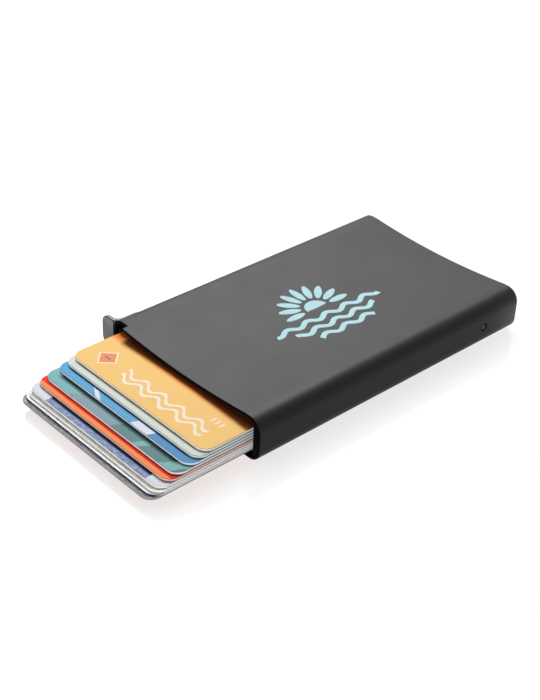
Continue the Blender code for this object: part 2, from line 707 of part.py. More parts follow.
def thumb_tab(holder):
    """The tab outside the case, with a neck that reaches through the slot to the rail."""
    half = TAB_PLATE_HEIGHT / 2
    corner_x = TAB_OUTER + TAB_PLATE_CORNER
    rise = half - TAB_PLATE_CORNER
    outline = arc_points((corner_x, MID_HEIGHT + rise), TAB_PLATE_CORNER, 90, 180, CORNER_STEPS)
    outline += arc_points((corner_x, MID_HEIGHT - rise), TAB_PLATE_CORNER, 180, 270, CORNER_STEPS)
    outline += [(TAB_INNER, MID_HEIGHT - half), (TAB_INNER, MID_HEIGHT + half)]
    middle = (0, TAB_FRONT + TAB_PLATE_THICKNESS / 2, 0)
    plate = prism_mesh("plate", [outline], TAB_PLATE_THICKNESS, ACROSS_Y, middle)
    finish = new_material("tab_graphite", (104, 104, 106), 0.4, 0.6)
    tab = holder.piece("thumb_tab", plate, finish)
    add_bevel(tab, TAB_EDGE_BEVEL)

    pad_middle = (0, 0, MID_HEIGHT)
    pad = prism_mesh("pad", [tab_side_outline()], TAB_PAD_HEIGHT, LYING, pad_middle)
    holder.combine(tab, "UNION", pad)

    neck_round = NECK_HEIGHT / 2
    neck_low = (NECK_FRONT, MID_HEIGHT - neck_round)
    neck_high = (NECK_REAR, MID_HEIGHT + neck_round)
    neck_outline = rounded_box_outline(neck_low, neck_high, neck_round, CORNER_STEPS)
    neck_start = TAB_INNER - TAB_PAD_THICKNESS / 2
    neck_end = RAIL_OUTER - SEAT_GAP
    neck_middle = ((neck_start + neck_end) / 2, 0, 0)
    neck = prism_mesh("neck", [neck_outline], neck_end - neck_start, ACROSS_X, neck_middle)
    holder.combine(tab, "UNION", neck)

    sink_depth = SCREW_HEAD_DEPTH + SEAT_GAP
    for number, along in enumerate(screw_places()):
        sink_middle = (TAB_PAD_OUTER + (sink_depth - OVERRUN) / 2, along, MID_HEIGHT)
        sink_radius = SCREW_HEAD_RADIUS + SEAT_GAP
        sink = cylinder_mesh(f"sink_{number}", sink_radius, sink_depth + OVERRUN, "X", sink_middle)
        holder.combine(tab, "DIFFERENCE", sink)
        reach = RAIL_OUTER - TAB_PAD_OUTER + OVERRUN
        hole_middle = (TAB_PAD_OUTER + reach / 2, along, MID_HEIGHT)
        hole = cylinder_mesh(f"hole_{number}", SCREW_RADIUS + SEAT_GAP, reach, "X", hole_middle)
        holder.combine(tab, "DIFFERENCE", hole)
    return tab


def tab_screw(holder, name, along, steel):
    """A flat-headed screw from the tab's pad into the rail, with a driver slot."""
    length = RAIL_INNER - SEAT_GAP - TAB_PAD_OUTER
    profile = [
        (0, 0),
        (SCREW_HEAD_RADIUS, 0),
        (SCREW_HEAD_RADIUS, -SCREW_HEAD_DEPTH),
        (SCREW_RADIUS, -SCREW_HEAD_DEPTH),
        (SCREW_RADIUS, -length),
        (0, -length),
    ]
    place = (TAB_PAD_OUTER, along, MID_HEIGHT)
    screw = holder.piece(name, turned_mesh(name, profile), steel, place)
    screw.rotation_euler = (0, math.radians(-90), 0)
    add_turning(screw)
    half_slot = SCREW_SLOT_WIDTH / 2
    reach = SCREW_HEAD_RADIUS + OVERRUN
    slot_low = (TAB_PAD_OUTER - OVERRUN, along - half_slot, MID_HEIGHT - reach)
    slot_high = (TAB_PAD_OUTER + SCREW_SLOT_DEPTH, along + half_slot, MID_HEIGHT + reach)
    holder.combine(screw, "DIFFERENCE", box_mesh("driver_slot", slot_low, slot_high))
    return screw


def ejector_arm(holder):
    """A bar whose top rises in steps, one for each card, and which turns on the foot."""
    top = CARD_COUNT - 1
    spacing = step_spacing()
    outline = [(0, ARM_BOTTOM), (ARM_REACH, ARM_BOTTOM), (ARM_REACH, step_top(top))]
    for level in range(top, 0, -1):
        outline.append((level * spacing, step_top(level)))
        outline.append((level * spacing, step_top(level - 1)))
    outline.append((0, step_top(0)))
    pivot_y = ARM_CLOSED_Y - slider_travel()
    bar = prism_mesh("stair", [outline], ARM_WIDTH, ACROSS_Y, (0, 0, 0))
    plastic = new_material("arm_plastic", (58, 58, 60), 0.5)
    arm = holder.piece("ejector_arm", bar, plastic, (PIVOT_X, pivot_y, 0))
    arm.rotation_euler = (0, 0, arm_swing())

    centre_height = (ARM_BOTTOM + step_top(0)) / 2
    thickness = step_top(0) - ARM_BOTTOM
    centre = (PIVOT_X, pivot_y, centre_height)
    boss = cylinder_mesh("boss", ARM_WIDTH / 2, thickness, "Z", centre, 40)
    holder.combine(arm, "UNION", boss)
    bore_radius = PIVOT_RADIUS + RUNNING_GAP
    bore_depth = 2 * (step_top(1) - ARM_BOTTOM)
    bore = cylinder_mesh("pivot_bore", bore_radius, bore_depth, "Z", centre)
    holder.combine(arm, "DIFFERENCE", bore)
    return arm


def pivot_rivet(holder):
    """The rivet that holds the ejector arm on the rail's foot."""
    head_bottom = step_top(0) + SEAT_GAP
    shank = head_bottom - FOOT_BOTTOM
    profile = [
        (0, PIVOT_HEAD_HEIGHT),
        (PIVOT_HEAD_RADIUS * 3 / 4, PIVOT_HEAD_HEIGHT),
        (PIVOT_HEAD_RADIUS, PIVOT_HEAD_HEIGHT / 2),
        (PIVOT_HEAD_RADIUS, 0),
        (PIVOT_RADIUS, 0),
        (PIVOT_RADIUS, -shank),
        (0, -shank),
    ]
    steel = new_material("rivet_steel", (150, 150, 152), 0.35, 1.0)
    place = (PIVOT_X, ARM_CLOSED_Y - slider_travel(), head_bottom)
    rivet = holder.piece("arm_pivot_rivet", turned_mesh("rivet", profile), steel, place)
    add_turning(rivet)
    return rivet


CARD_COLOURS = (
    (144, 141, 150),
    (232, 235, 237),
    (217, 218, 205),
    (128, 142, 190),
    (245, 130, 70),
    (128, 178, 172),
    (100, 172, 221),
    (213, 230, 220),
    (253, 200, 120),
)


def card(holder, level):
    """One card, its front edge standing out of the mouth by its own reach."""
    half = CARD_WIDTH / 2
    outline = rounded_box_outline((-half, 0), (half, CARD_LENGTH), CARD_CORNER, CORNER_STEPS)
    middle = (0, 0, CARD_THICKNESS / 2)
    mesh = prism_mesh("card", [outline], CARD_THICKNESS, LYING, middle)
    name = CARD_NAMES[level]
    finish = new_material(name, CARD_COLOURS[level], 0.35)
    drift = CARD_DRIFT * DRIFT_SHARES[level]
    return holder.piece(name, mesh, finish, (drift, -card_reach(level), card_bottom(level)))


def build():
    holder = Holder()
    case_shell(holder)
    plastic = new_material("black_plastic", (24, 24, 25), 0.5)
    end_plug(holder, plastic)
    card_guide(holder, plastic)
    retention_pin(holder)
    card_spring(holder)
    steel = new_material("small_steel", (150, 150, 152), 0.35, 1.0)
    spring_rivet(holder, "spring_rivet_left", -1, steel)
    spring_rivet(holder, "spring_rivet_right", 1, steel)
    felt = new_material("black_felt", (18, 18, 19), 0.95)
    felt_strip(holder, "felt_strip_left", -1, felt)
    felt_strip(holder, "felt_strip_right", 1, felt)
    slider_rail(holder)
    thumb_tab(holder)
    screw_names = ("tab_screw_front", "tab_screw_rear")
    for name, along in zip(screw_names, screw_places()):
        tab_screw(holder, name, along, steel)
    ejector_arm(holder)
    pivot_rivet(holder)
    for level in range(CARD_COUNT):
        card(holder, level)


build()
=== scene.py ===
"""The looks of a slim aluminium card holder with nine cards fanned out of its mouth.

Everything is in metres, in the frame of the packed model: X runs across the case, Y from
its mouth to its far end, and Z up. Each skin is worked out with numpy, as rings of points
that one function joins up, and its place is in its mesh.
"""

import math

import bmesh
import bpy
import numpy as np
from bpy.props import FloatProperty, FloatVectorProperty, PointerProperty
from bpy.types import Operator, Panel, PropertyGroup
from mathutils import Matrix, Vector


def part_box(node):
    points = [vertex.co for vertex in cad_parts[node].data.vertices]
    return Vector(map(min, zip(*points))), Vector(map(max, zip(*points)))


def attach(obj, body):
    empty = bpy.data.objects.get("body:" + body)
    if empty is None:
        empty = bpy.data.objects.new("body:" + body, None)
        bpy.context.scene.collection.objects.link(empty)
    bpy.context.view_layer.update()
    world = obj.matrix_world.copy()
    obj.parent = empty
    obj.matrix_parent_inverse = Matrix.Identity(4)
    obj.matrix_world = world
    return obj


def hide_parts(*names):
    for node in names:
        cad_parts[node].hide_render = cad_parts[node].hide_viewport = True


bl_info = {
    "name": "Card Holder",
    "version": (1, 0, 0),
    "blender": (4, 5, 0),
    "location": "3D View > Sidebar > Card Holder",
    "description": "Builds a dished aluminium card holder with its cards fanned out",
    "category": "Add Mesh",
}

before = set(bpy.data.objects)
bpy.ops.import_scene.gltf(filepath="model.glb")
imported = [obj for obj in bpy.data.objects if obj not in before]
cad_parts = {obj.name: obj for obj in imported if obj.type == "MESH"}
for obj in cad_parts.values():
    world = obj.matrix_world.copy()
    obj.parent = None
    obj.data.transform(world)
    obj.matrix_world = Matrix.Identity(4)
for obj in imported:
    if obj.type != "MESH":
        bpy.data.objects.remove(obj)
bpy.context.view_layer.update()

MM = 0.001
SAME_PLACE = 0.001 * MM  # Points nearer than this are merged
CARD_MIDDLE = 27 * MM  # From a card's left edge to its middle
CASE_LOW, CASE_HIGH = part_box("case_shell")
CASE_MIDDLE = (CASE_LOW.x + CASE_HIGH.x) / 2
CASE_HALF = (CASE_HIGH.x - CASE_LOW.x) / 2
CASE_HEIGHT = CASE_HIGH.z
MID_HEIGHT = CASE_HEIGHT / 2
MOUTH = CASE_LOW.y
FAR_END = CASE_HIGH.y
TAB_SCREWS = ("tab_screw_front", "tab_screw_rear")
CARD_NODES = sorted(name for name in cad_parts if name[:5] == "card_" and name[5].isdigit())


def size(name, description, default):
    """A length property in metres."""
    return FloatProperty(name=name, description=description, default=default, unit="LENGTH", precision=5)


def share(name, description, default):
    """A plain number from 0 to 1."""
    return FloatProperty(name=name, description=description, default=default, min=0.0, max=1.0)


def power(name, description, default):
    """A lamp's power in watts."""
    return FloatProperty(name=name, description=description, default=default, min=0.0, unit="POWER")


def turn(name, description, degrees):
    """An angle property, its default given in degrees."""
    default = math.radians(degrees)
    return FloatProperty(name=name, description=description, default=default, subtype="ANGLE")


def colour(name, description, red, green, blue):
    """A colour property, its default given as 0 to 255 and kept as the shader's linear values."""
    return linear_colour(name, description, linear(red, green, blue))


def linear_colour(name, description, default):
    """A colour property, its default given as the shader's linear values."""
    return FloatVectorProperty(
        name=name, description=description, subtype="COLOR", size=3, default=default
    )


def linear(red, green, blue):
    """The sRGB curve undone: v / 12.92 below 0.04045, and ((v + 0.055) / 1.055) ^ 2.4 above."""
    values = np.array((red, green, blue)) / 255
    return tuple(np.where(values <= 0.04045, values / 12.92, ((values + 0.055) / 1.055) ** 2.4).tolist())


class HolderCase(PropertyGroup):
    """Sizes and finish of the aluminium tube."""

    wall: size("Wall", "Thickness of the tube's wall", 0.9 * MM)
    corner: size("Corner radius", "Outer radius of the four round edges", 3.9 * MM)
    dish: size("Dish depth", "How far the upper and lower faces sink in the middle", 1.35 * MM)
    land: size("Rest strip", "Width of the flat strip between a dish and its round edge", 1.5 * MM)
    notch_depth: size("Notch depth", "How far the corner notch runs in from the mouth", 1.9 * MM)
    notch_width: size("Notch width", "How far the corner notch runs in from the left side", 6.4 * MM)
    slot_height: size("Slot height", "Height of the thumb tab's slot", 3.0 * MM)
    slot_start: size("Slot start", "Distance from the mouth to the slot", 4.25 * MM)
    slot_length: size("Slot length", "Length of the thumb tab's slot", 38.9 * MM)
    pin_hole: size("Pin hole radius", "Radius of the retention pin's hole", 1.2 * MM)
    edge: size("Edge break", "Radius of the rounding at the mouth and the far end", 0.22 * MM)
    cut_edge: size("Cut edge", "Rounding along the edges of the notch, the slot and the hole", 0.05 * MM)
    tint: colour("Anodised colour", "Colour of the anodised aluminium", 20, 20, 21)
    # Painted reflection: the glint colour is painted on the far end of the right side, where the side
    # reflects the bright floor
    painted_glint: colour("Glint colour", "Paler tone at the far end of the right side", 96, 93, 95)
    # Painted shade: the inner colour is the anodising darkened to near-black, inside the tube and on its
    # cut ends
    inside: colour("Inner colour", "Colour inside the tube and on its cut ends", 8, 6, 5)
    grain: size("Grain", "Size of the blasted grain in the anodised finish", 0.16 * MM)


class HolderTab(PropertyGroup):
    """Sizes and finish of the thumb tab."""

    gap: size("Gap to the case", "Clearance between the tab and the case's side", 0.2 * MM)
    plate: size("Plate thickness", "Thickness of the upright plate", 1.3 * MM)
    corner: size("Plate corner", "Radius of the plate's two outer corners", 2.5 * MM)
    pad: size("Pad thickness", "How far the pad stands out behind the plate", 1.0 * MM)
    pad_tip: size("Pad tip", "Thickness of the pad at its rear end", 0.45 * MM)
    pad_taper: size("Pad taper", "Length of the pad's slope at its rear end", 1.6 * MM)
    pad_height: size("Pad height", "Height of the pad", 7.6 * MM)
    ramp: size("Ramp radius", "Radius of the hollow between the plate and the pad", 2.9 * MM)
    neck_start: size("Neck start", "Distance from the plate to the neck", 1.3 * MM)
    neck_length: size("Neck length", "Length of the neck in the slot", 5.6 * MM)
    neck_height: size("Neck height", "Height of the neck in the slot", 2.4 * MM)
    edge: size("Edge break", "Radius of the rounding round the plate", 0.22 * MM)
    cut_edge: size("Cut edge", "Rounding along the pad's edges and the screws' seats", 0.04 * MM)
    tint: colour("Tab colour", "Colour of the tab's finish", 120, 119, 120)
    rim: colour("Tab rim colour", "Colour of the rounded edges of the plate", 14, 14, 14)


class HolderCards(PropertyGroup):
    """Sizes and colours of the nine cards."""

    corner: size("Corner radius", "Radius of a card's corners", 3.18 * MM)
    edge: size("Edge break", "Rounding along a card's upper and lower edges", 0.1 * MM)
    orange: colour("Orange card", "Ground of the first card", 255, 206, 127)
    pale: colour("Pale card", "Ground of the second card", 220, 227, 218)
    blue: colour("Blue card", "Ground of the third card", 88, 166, 216)
    teal: colour("Teal card", "Lightest tone of the fourth card", 132, 188, 192)
    red: colour("Orange-red card", "Ground of the fifth card", 250, 146, 88)
    violet: colour("Violet card", "Darker tone of the sixth card's weave", 104, 120, 168)
    cream: colour("Cream card", "Ground of the seventh card", 250, 250, 238)
    white: colour("White card", "Ground of the eighth card", 252, 254, 255)
    grey: colour("Grey card", "Ground of the ninth card", 153, 149, 158)


class HolderFittings(PropertyGroup):
    """Sizes and finishes of the plug, the pin, the screws and the inner pieces."""

    plug_gap: size("Plug clearance", "Clearance between the end plug and the tube", 0.1 * MM)
    plug_plate: size("Plug plate", "Thickness of the end plug's plate", 1.4 * MM)
    plug_rim: size("Plug rim", "Width of the raised rim round the end plug's outer face", 1.3 * MM)
    plug_sink: size("Plug panel depth", "Depth of the panel inside the end plug's rim", 0.35 * MM)
    plug_edge: size("Plug edges", "Radius of the pin arm's and the heel pad's upright edges", 0.3 * MM)
    arm_gap: size("Pin arm clearance", "From the end plug's right side to its pin arm", 0.2 * MM)
    arm_width: size("Pin arm width", "Thickness of the end plug's pin arm", 1.5 * MM)
    arm_height: size("Pin arm height", "Height of the end plug's pin arm", 5.6 * MM)
    heel_start: size("Heel pad start", "From the spring to the pad that the ejector bears on", 2.0 * MM)
    heel_depth: size("Heel pad depth", "How far the heel pad stands in from the plug's plate", 1.15 * MM)
    heel_height: size("Heel pad height", "Height of the heel pad", 6.6 * MM)
    screw_head: size("Screw head depth", "Depth of the tab screws' heads", 0.4 * MM)
    screw_shank: size("Screw radius", "Radius of the tab screws' shanks", 0.55 * MM)
    screw_slot: size("Screw slot", "Width of the screws' driver slots", 0.3 * MM)
    plastic: colour("Black plastic", "Colour of the end plug", 15, 15, 16)
    channel: colour("Channel plastic", "Colour of the guide and the rail", 7, 7, 7)
    arm: colour("Arm plastic", "Colour of the ejector arm", 58, 58, 60)
    steel: colour("Steel", "Colour of the screws, rivets and spring", 165, 165, 168)
    pin: colour("Pin steel", "Colour of the retention pin", 62, 60, 62)
    felt: colour("Felt", "Colour of the felt strips", 20, 20, 21)


class HolderEmblem(PropertyGroup):
    """Sizes and colour of the plain printed ornament on the upper face."""

    centre: size("Distance from the mouth", "Where its middle lies along the case", 48.7 * MM)
    across: size("Distance from the middle", "Where its middle lies across the case", 0.6 * MM)
    radius: size("Leaf reach", "Outer radius of the ring of leaves", 11.2 * MM)
    disc: size("Disc radius", "Radius of the half disc", 3.6 * MM)
    line: size("Line width", "The width that the ornament's lines and gaps are drawn from", 1.15 * MM)
    span: size("Wave span", "Length of the longest wave", 38.0 * MM)
    wave: size("Wave length", "Distance between two crests", 7.2 * MM)
    ink: colour("Ink", "Colour of the print", 178, 219, 226)


class HolderStage(PropertyGroup):
    """The camera, the lamps and the floor."""

    aim_x: size("Aim X", "Where the camera points", 3.99 * MM)
    aim_y: size("Aim Y", "Where the camera points", -3.13 * MM)
    aim_z: size("Aim Z", "Where the camera points", 6.4 * MM)
    distance: size("Camera distance", "From the aim point to the camera", 369.56 * MM)
    heading: turn("Heading", "Camera's turn about Z", 46.507)
    down: turn("Down", "Camera's tilt below the horizon", 33.451)
    roll: turn("Roll", "Camera's turn about its own axis", 2.269)
    lens: FloatProperty(name="Lens", description="Focal length in millimetres", default=71.32)
    key: power("Key lamp", "Power of the lamp behind and above, which casts the shadows", 8.9)
    key_width: size("Key lamp width", "Width of the key lamp", 0.36)
    fill: power("Fill lamp", "Power of the low soft lamp in front", 4.8)
    fill_width: size("Fill lamp width", "Width of the fill lamp", 0.9)
    fill_height: size("Fill lamp height", "Height of the fill lamp", 0.06)
    sheen: power("Sheen lamp", "Power of the wide lamp that only the gloss shows", 18.0)
    sheen_width: size("Sheen lamp width", "Width of the sheen lamp", 0.8)
    world: share("World light", "Strength of the even light from all round", 0.05)
    glow: share("Floor glow", "How much of the floor's white is its own, to the camera", 0.9)
    floor: colour("Floor", "Colour of the floor", 244, 243, 244)
    floor_half: size("Floor half width", "From the floor's middle to each of its edges", 3.0)
    # Painted shade on the floor's glow near the holder: its reach, the turn between its tones, and its
    # warm and grey tones
    shade_reach: size("Shade reach", "How far from the holder the floor's soft shade reaches", 9 * MM)
    shade_turn: turn("Shade turn", "Direction in which the shade turns from warm to grey", 46.507)
    warm: linear_colour("Warm shade", "Tone of the floor's shade by the cards", (0.91, 0.842, 0.828))
    cool: linear_colour("Grey shade", "Tone of the floor's shade by the case", (0.868, 0.868, 0.864))


def arc(centre, radius, start, end, count):
    """Points centre + radius * (cos a, sin a), with a running evenly from start to end, in degrees."""
    angle = np.radians(np.linspace(start, end, count))
    return np.column_stack((centre[0] + radius * np.cos(angle), centre[1] + radius * np.sin(angle)))


def rounded_box(low, high, radius, count=12):
    """A rectangle's outline, its corners quarter circles of the radius."""
    return np.vstack(
        (
            arc((high[0] - radius, low[1] + radius), radius, -90, 0, count),
            arc((high[0] - radius, high[1] - radius), radius, 0, 90, count),
            arc((low[0] + radius, high[1] - radius), radius, 90, 180, count),
            arc((low[0] + radius, low[1] + radius), radius, 180, 270, count),
        )
    )


def dish_radius():
    """The radius of the circle whose arc the dish is: (half its width ^ 2 + depth ^ 2) / (2 * depth)."""
    case = bpy.context.scene.holder_case
    half = CASE_HALF - case.corner - case.land
    return (half**2 + case.dish**2) / (2 * case.dish)


def dish_height(across, inset):
    """Height of the lower face at a place across: an arc of the dish's circle, at least the inset."""
    case = bpy.context.scene.holder_case
    radius = dish_radius()
    bow = case.dish - radius + np.sqrt((radius + inset) ** 2 - np.asarray(across) ** 2)
    return np.maximum(inset, bow)


def case_section(inset, dish_count=65, corner_count=24):
    """The tube's closed outline (across, height), moved inwards by the inset: four quarter circles
    and two dishes."""
    case = bpy.context.scene.holder_case
    radius = dish_radius()
    edge = math.sqrt((radius + inset) ** 2 - (radius - case.dish + inset) ** 2)
    across = np.linspace(-edge, edge, dish_count)
    lower = np.column_stack((across, dish_height(across, inset)))
    round_radius = case.corner - inset
    side = CASE_HALF - case.corner
    top = CASE_HEIGHT - case.corner
    outline = np.vstack(
        (
            lower,
            arc((side, case.corner), round_radius, -90, 0, corner_count),
            arc((side, top), round_radius, 0, 90, corner_count),
            np.column_stack((-across, CASE_HEIGHT - lower[:, 1])),
            arc((-side, top), round_radius, 90, 180, corner_count),
            arc((-side, case.corner), round_radius, 180, 270, corner_count),
        )
    )
    outline[:, 0] += CASE_MIDDLE
    return outline


def quarter(radius, steps=5):
    """Places (inset, depth) over a quarter circle, from (radius, 0) to (0, radius). One more place lies
    a radius further on at each end, so that the rounding doesn't bend the shading of the flats."""
    angle = np.linspace(np.pi / 2, 0, steps)
    inset = np.concatenate(([2 * radius], radius * (1 - np.cos(angle)), [0.0]))
    depth = np.concatenate(([0.0], radius * (1 - np.sin(angle)), [2 * radius]))
    return list(zip(inset.tolist(), depth.tolist()))


def stood(outline, along):
    """An outline (across, height) as a ring of points at a place along Y."""
    return np.column_stack((outline[:, 0], np.full(len(outline), along), outline[:, 1]))


def laid(outline, height):
    """An outline (across, along) as a ring of points at a height."""
    return np.column_stack((outline, np.full(len(outline), height)))


def sided(outline, across):
    """An outline (along, height) as a ring of points at a place across X."""
    return np.column_stack((np.full(len(outline), across), outline))


def skin(rings, wrap=False):
    """The faces over rings of points: ring r and point n give vertex r * N + n, and each quad joins
    two neighbours on one ring to the same two on the next. The end rings are capped, or joined to
    each other if wrap is set."""
    rings = np.asarray(rings)
    rows, count = rings.shape[:2]
    index = np.arange(rows * count).reshape(rows, count)
    lower = index if wrap else index[:-1]
    upper = np.roll(index, -1, axis=0) if wrap else index[1:]
    quads = np.stack((lower, np.roll(lower, -1, 1), np.roll(upper, -1, 1), upper), axis=-1)
    faces = quads.reshape(-1, 4).tolist()
    if not wrap:
        faces += [index[0][::-1].tolist(), index[-1].tolist()]
    return rings.reshape(-1, 3), faces


def slab(outline, low, high):
    """The skin of an outline (across, along) carried from one height to another."""
    return skin([laid(outline, low), laid(outline, high)])


def bar(outline, low, high):
    """The skin of an outline (along, height) carried from one place across X to another."""
    return skin([sided(outline, low), sided(outline, high)])


def turned(profile, centre, steps=48):
    """The skin of a profile (radius, distance) turned about an axis along X through the centre: each
    point is centre + distance * axis + radius * (cos t * first + sin t * second), t running once
    round."""
    axis = Vector((1, 0, 0))
    first = axis.orthogonal().normalized()
    second = axis.cross(first)
    angle = np.linspace(0, 2 * np.pi, steps, endpoint=False)
    around = np.outer(np.cos(angle), first) + np.outer(np.sin(angle), second)
    profile = np.asarray(profile)
    spine = np.asarray(centre) + np.outer(profile[:, 1], axis)
    return skin(spine[:, None, :] + profile[:, 0][:, None, None] * around[None, :, :])


def middle_of(node, across):
    """A place across X, with a node's middle along and up."""
    low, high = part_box(node)
    return across, (low.y + high.y) / 2, (low.z + high.z) / 2


def half_height(node):
    """Half of a node's height, which is the radius of a round one that lies along X."""
    low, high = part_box(node)
    return (high.z - low.z) / 2


def face_values(mesh, what):
    """A row of three numbers for each face of a mesh: its center, or its normal."""
    values = np.empty(len(mesh.polygons) * 3)
    mesh.polygons.foreach_get(what, values)
    return values.reshape(-1, 3)


def use_second_finish(mesh, chosen):
    """Gives the chosen faces the second of a piece's two finishes, and the others the first."""
    mesh.polygons.foreach_set("material_index", chosen.astype(np.int32))


def new_mesh(name, parts):
    """One mesh from several skins, with its doubles merged and its faces turned outwards."""
    points = []
    faces = []
    start = 0
    for vertices, polygons in parts:
        points.append(vertices)
        faces += [[start + corner for corner in polygon] for polygon in polygons]
        start += len(vertices)
    mesh = bpy.data.meshes.new(name)
    mesh.from_pydata(np.vstack(points).tolist(), [], faces)
    shape = bmesh.new()
    shape.from_mesh(mesh)
    bmesh.ops.remove_doubles(shape, verts=shape.verts, dist=SAME_PLACE)
    bmesh.ops.recalc_face_normals(shape, faces=shape.faces)
    shape.to_mesh(mesh)
    shape.free()
    return mesh


def new_piece(name, parts, *finishes):
    """An object at the origin over one or more skins, with its finishes."""
    mesh = new_mesh(name, parts)
    for finish in finishes:
        mesh.materials.append(finish)
    piece = bpy.data.objects.new(name, mesh)
    bpy.context.scene.collection.objects.link(piece)
    return piece


def shaped(piece, operation, *parts):
    """Cuts skins from a piece, or joins them on, and keeps the result as the piece's own mesh."""
    helpers = []
    for part in parts:
        helper = bpy.data.objects.new("helper", new_mesh("helper", [part]))
        bpy.context.scene.collection.objects.link(helper)
        modifier = piece.modifiers.new("shape", "BOOLEAN")
        modifier.operation = operation
        modifier.solver = "EXACT"
        modifier.object = helper
        helpers.append(helper)
    return baked(piece, helpers)


def baked(piece, helpers=()):
    """Replaces a piece's mesh with what its modifiers make of it."""
    graph = bpy.context.evaluated_depsgraph_get()
    mesh = bpy.data.meshes.new_from_object(piece.evaluated_get(graph))
    piece.modifiers.clear()
    piece.data = mesh
    for helper in helpers:
        bpy.data.objects.remove(helper, do_unlink=True)
    return piece


def rounded(piece, width, segments=3, angle=35):
    """Rounds a piece's sharp edges and shades it smooth."""
    piece.data.shade_smooth()
    modifier = piece.modifiers.new("rounded", "BEVEL")
    modifier.width = width
    modifier.segments = segments
    modifier.limit_method = "ANGLE"
    modifier.angle_limit = math.radians(angle)
    modifier.harden_normals = True
    return baked(piece)


def smooth(piece, angle):
    """Shades a piece smooth, apart from its sharp edges."""
    piece.data.shade_smooth()
    piece.data.set_sharp_from_angle(angle=math.radians(angle))
    return piece


def settle(piece, body, slot, *nodes):
    """The piece moves with a body and stands for some nodes, which it hides. The slot is not used."""
    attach(piece, body)
    if nodes:
        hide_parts(*nodes)
    return piece


class Finish:
    """One node-based material, with helpers that add nodes and join them."""

    def __init__(self, name, base, roughness, metallic=0.0, **sockets):
        self.material = bpy.data.materials.new(name)
        self.material.use_nodes = True
        self.tree = self.material.node_tree
        self.shader = self.tree.nodes["Principled BSDF"]
        self.shader.inputs["Base Color"].default_value = (*base, 1)
        self.shader.inputs["Roughness"].default_value = roughness
        self.shader.inputs["Metallic"].default_value = metallic
        for socket, value in sockets.items():
            self.shader.inputs[socket.replace("_", " ")].default_value = value
        self.place = self.add("ShaderNodeTexCoord").outputs["Object"]

    def add(self, kind, inputs=None, **settings):
        """A node with its settings. An input is a value, or another node's output to join to it."""
        node = self.tree.nodes.new(kind)
        for key, value in settings.items():
            setattr(node, key, value)
        for key, value in (inputs or {}).items():
            self.join(node.inputs[key], value)
        return node

    def join(self, socket, value):
        """Gives a socket a value, or links it to an output."""
        if isinstance(value, bpy.types.NodeSocket):
            self.tree.links.new(value, socket)
        elif socket.type == "RGBA":
            socket.default_value = (*value, 1)
        else:
            socket.default_value = value

    def sum(self, operation, first, second=0.0, third=0.0):
        """A maths node's result."""
        inputs = {0: first, 1: second, 2: third}
        return self.add("ShaderNodeMath", inputs, operation=operation).outputs[0]

    def moved(self, place=(0, 0, 0), scale=(1, 1, 1)):
        """Object coordinates seen from a place on the piece, and scaled."""
        inputs = {"Vector": self.place, "Location": place, "Scale": scale}
        return self.add("ShaderNodeMapping", inputs, vector_type="TEXTURE").outputs[0]

    def axes(self, vector=None):
        """The three coordinates of a vector."""
        return self.add("ShaderNodeSeparateXYZ", {0: vector or self.place}).outputs

    def noise(self, width, detail, vector=None, roughness=0.5):
        """Noise whose blobs are about as wide as given, in metres."""
        inputs = {
            "Vector": vector or self.place,
            "Scale": 1 / width,
            "Detail": detail,
            "Roughness": roughness,
        }
        return self.add("ShaderNodeTexNoise", inputs).outputs["Fac"]

    def span(self, value, low, high, to_low=0.0, to_high=1.0):
        """Carries a value from one range to another, and keeps it inside the second."""
        inputs = {0: value, 1: low, 2: high, 3: to_low, 4: to_high}
        return self.add("ShaderNodeMapRange", inputs).outputs[0]

    def band(self, value, middle, width, soft=0.04 * MM):
        """1 where a value lies within half the width of the middle, with a soft edge."""
        off = self.sum("ABSOLUTE", self.sum("SUBTRACT", value, middle))
        return self.span(off, width / 2 + soft, width / 2 - soft)

    def both(self, *masks):
        """The product of masks."""
        made = masks[0]
        for mask in masks[1:]:
            made = self.sum("MULTIPLY", made, mask)
        return made

    def either(self, *masks):
        """The largest of masks."""
        made = masks[0]
        for mask in masks[1:]:
            made = self.sum("MAXIMUM", made, mask)
        return made

    def rear_shade(self, start, end):
        """Painted shade at the rear of a card's strip, where the card above shades it: rises from 0 to 1
        from start to end along a card, apart from its two sides.
        """
        inner = self.band(self.across, CARD_MIDDLE, 47 * MM, 1 * MM)
        return self.both(self.span(self.along, start, end), inner)

    def mix(self, mask, first, second, mode="MIX"):
        """One colour laid over another where the mask is 1."""
        node = self.add("ShaderNodeMix", data_type="RGBA", blend_type=mode)
        for index, value in ((0, mask), (6, first), (7, second)):
            self.join(node.inputs[index], value)
        return node.outputs[2]

    def tone(self, base, amount, mask):
        """A colour made lighter and darker by a share, as a mask runs from 0 to 1."""
        lighter = tuple(min(1.0, value * (1 + amount)) for value in base)
        darker = tuple(value * (1 - amount) for value in base)
        return self.mix(mask, darker, lighter)

    def paint(self, value):
        """Joins a colour to the shader."""
        self.join(self.shader.inputs["Base Color"], value)

    def relief(self, height, depth, strength=1.0):
        """Joins a bump whose full height is the depth, in metres."""
        bump = self.add("ShaderNodeBump", {"Height": height, "Distance": depth, "Strength": strength})
        self.join(self.shader.inputs["Normal"], bump.outputs[0])


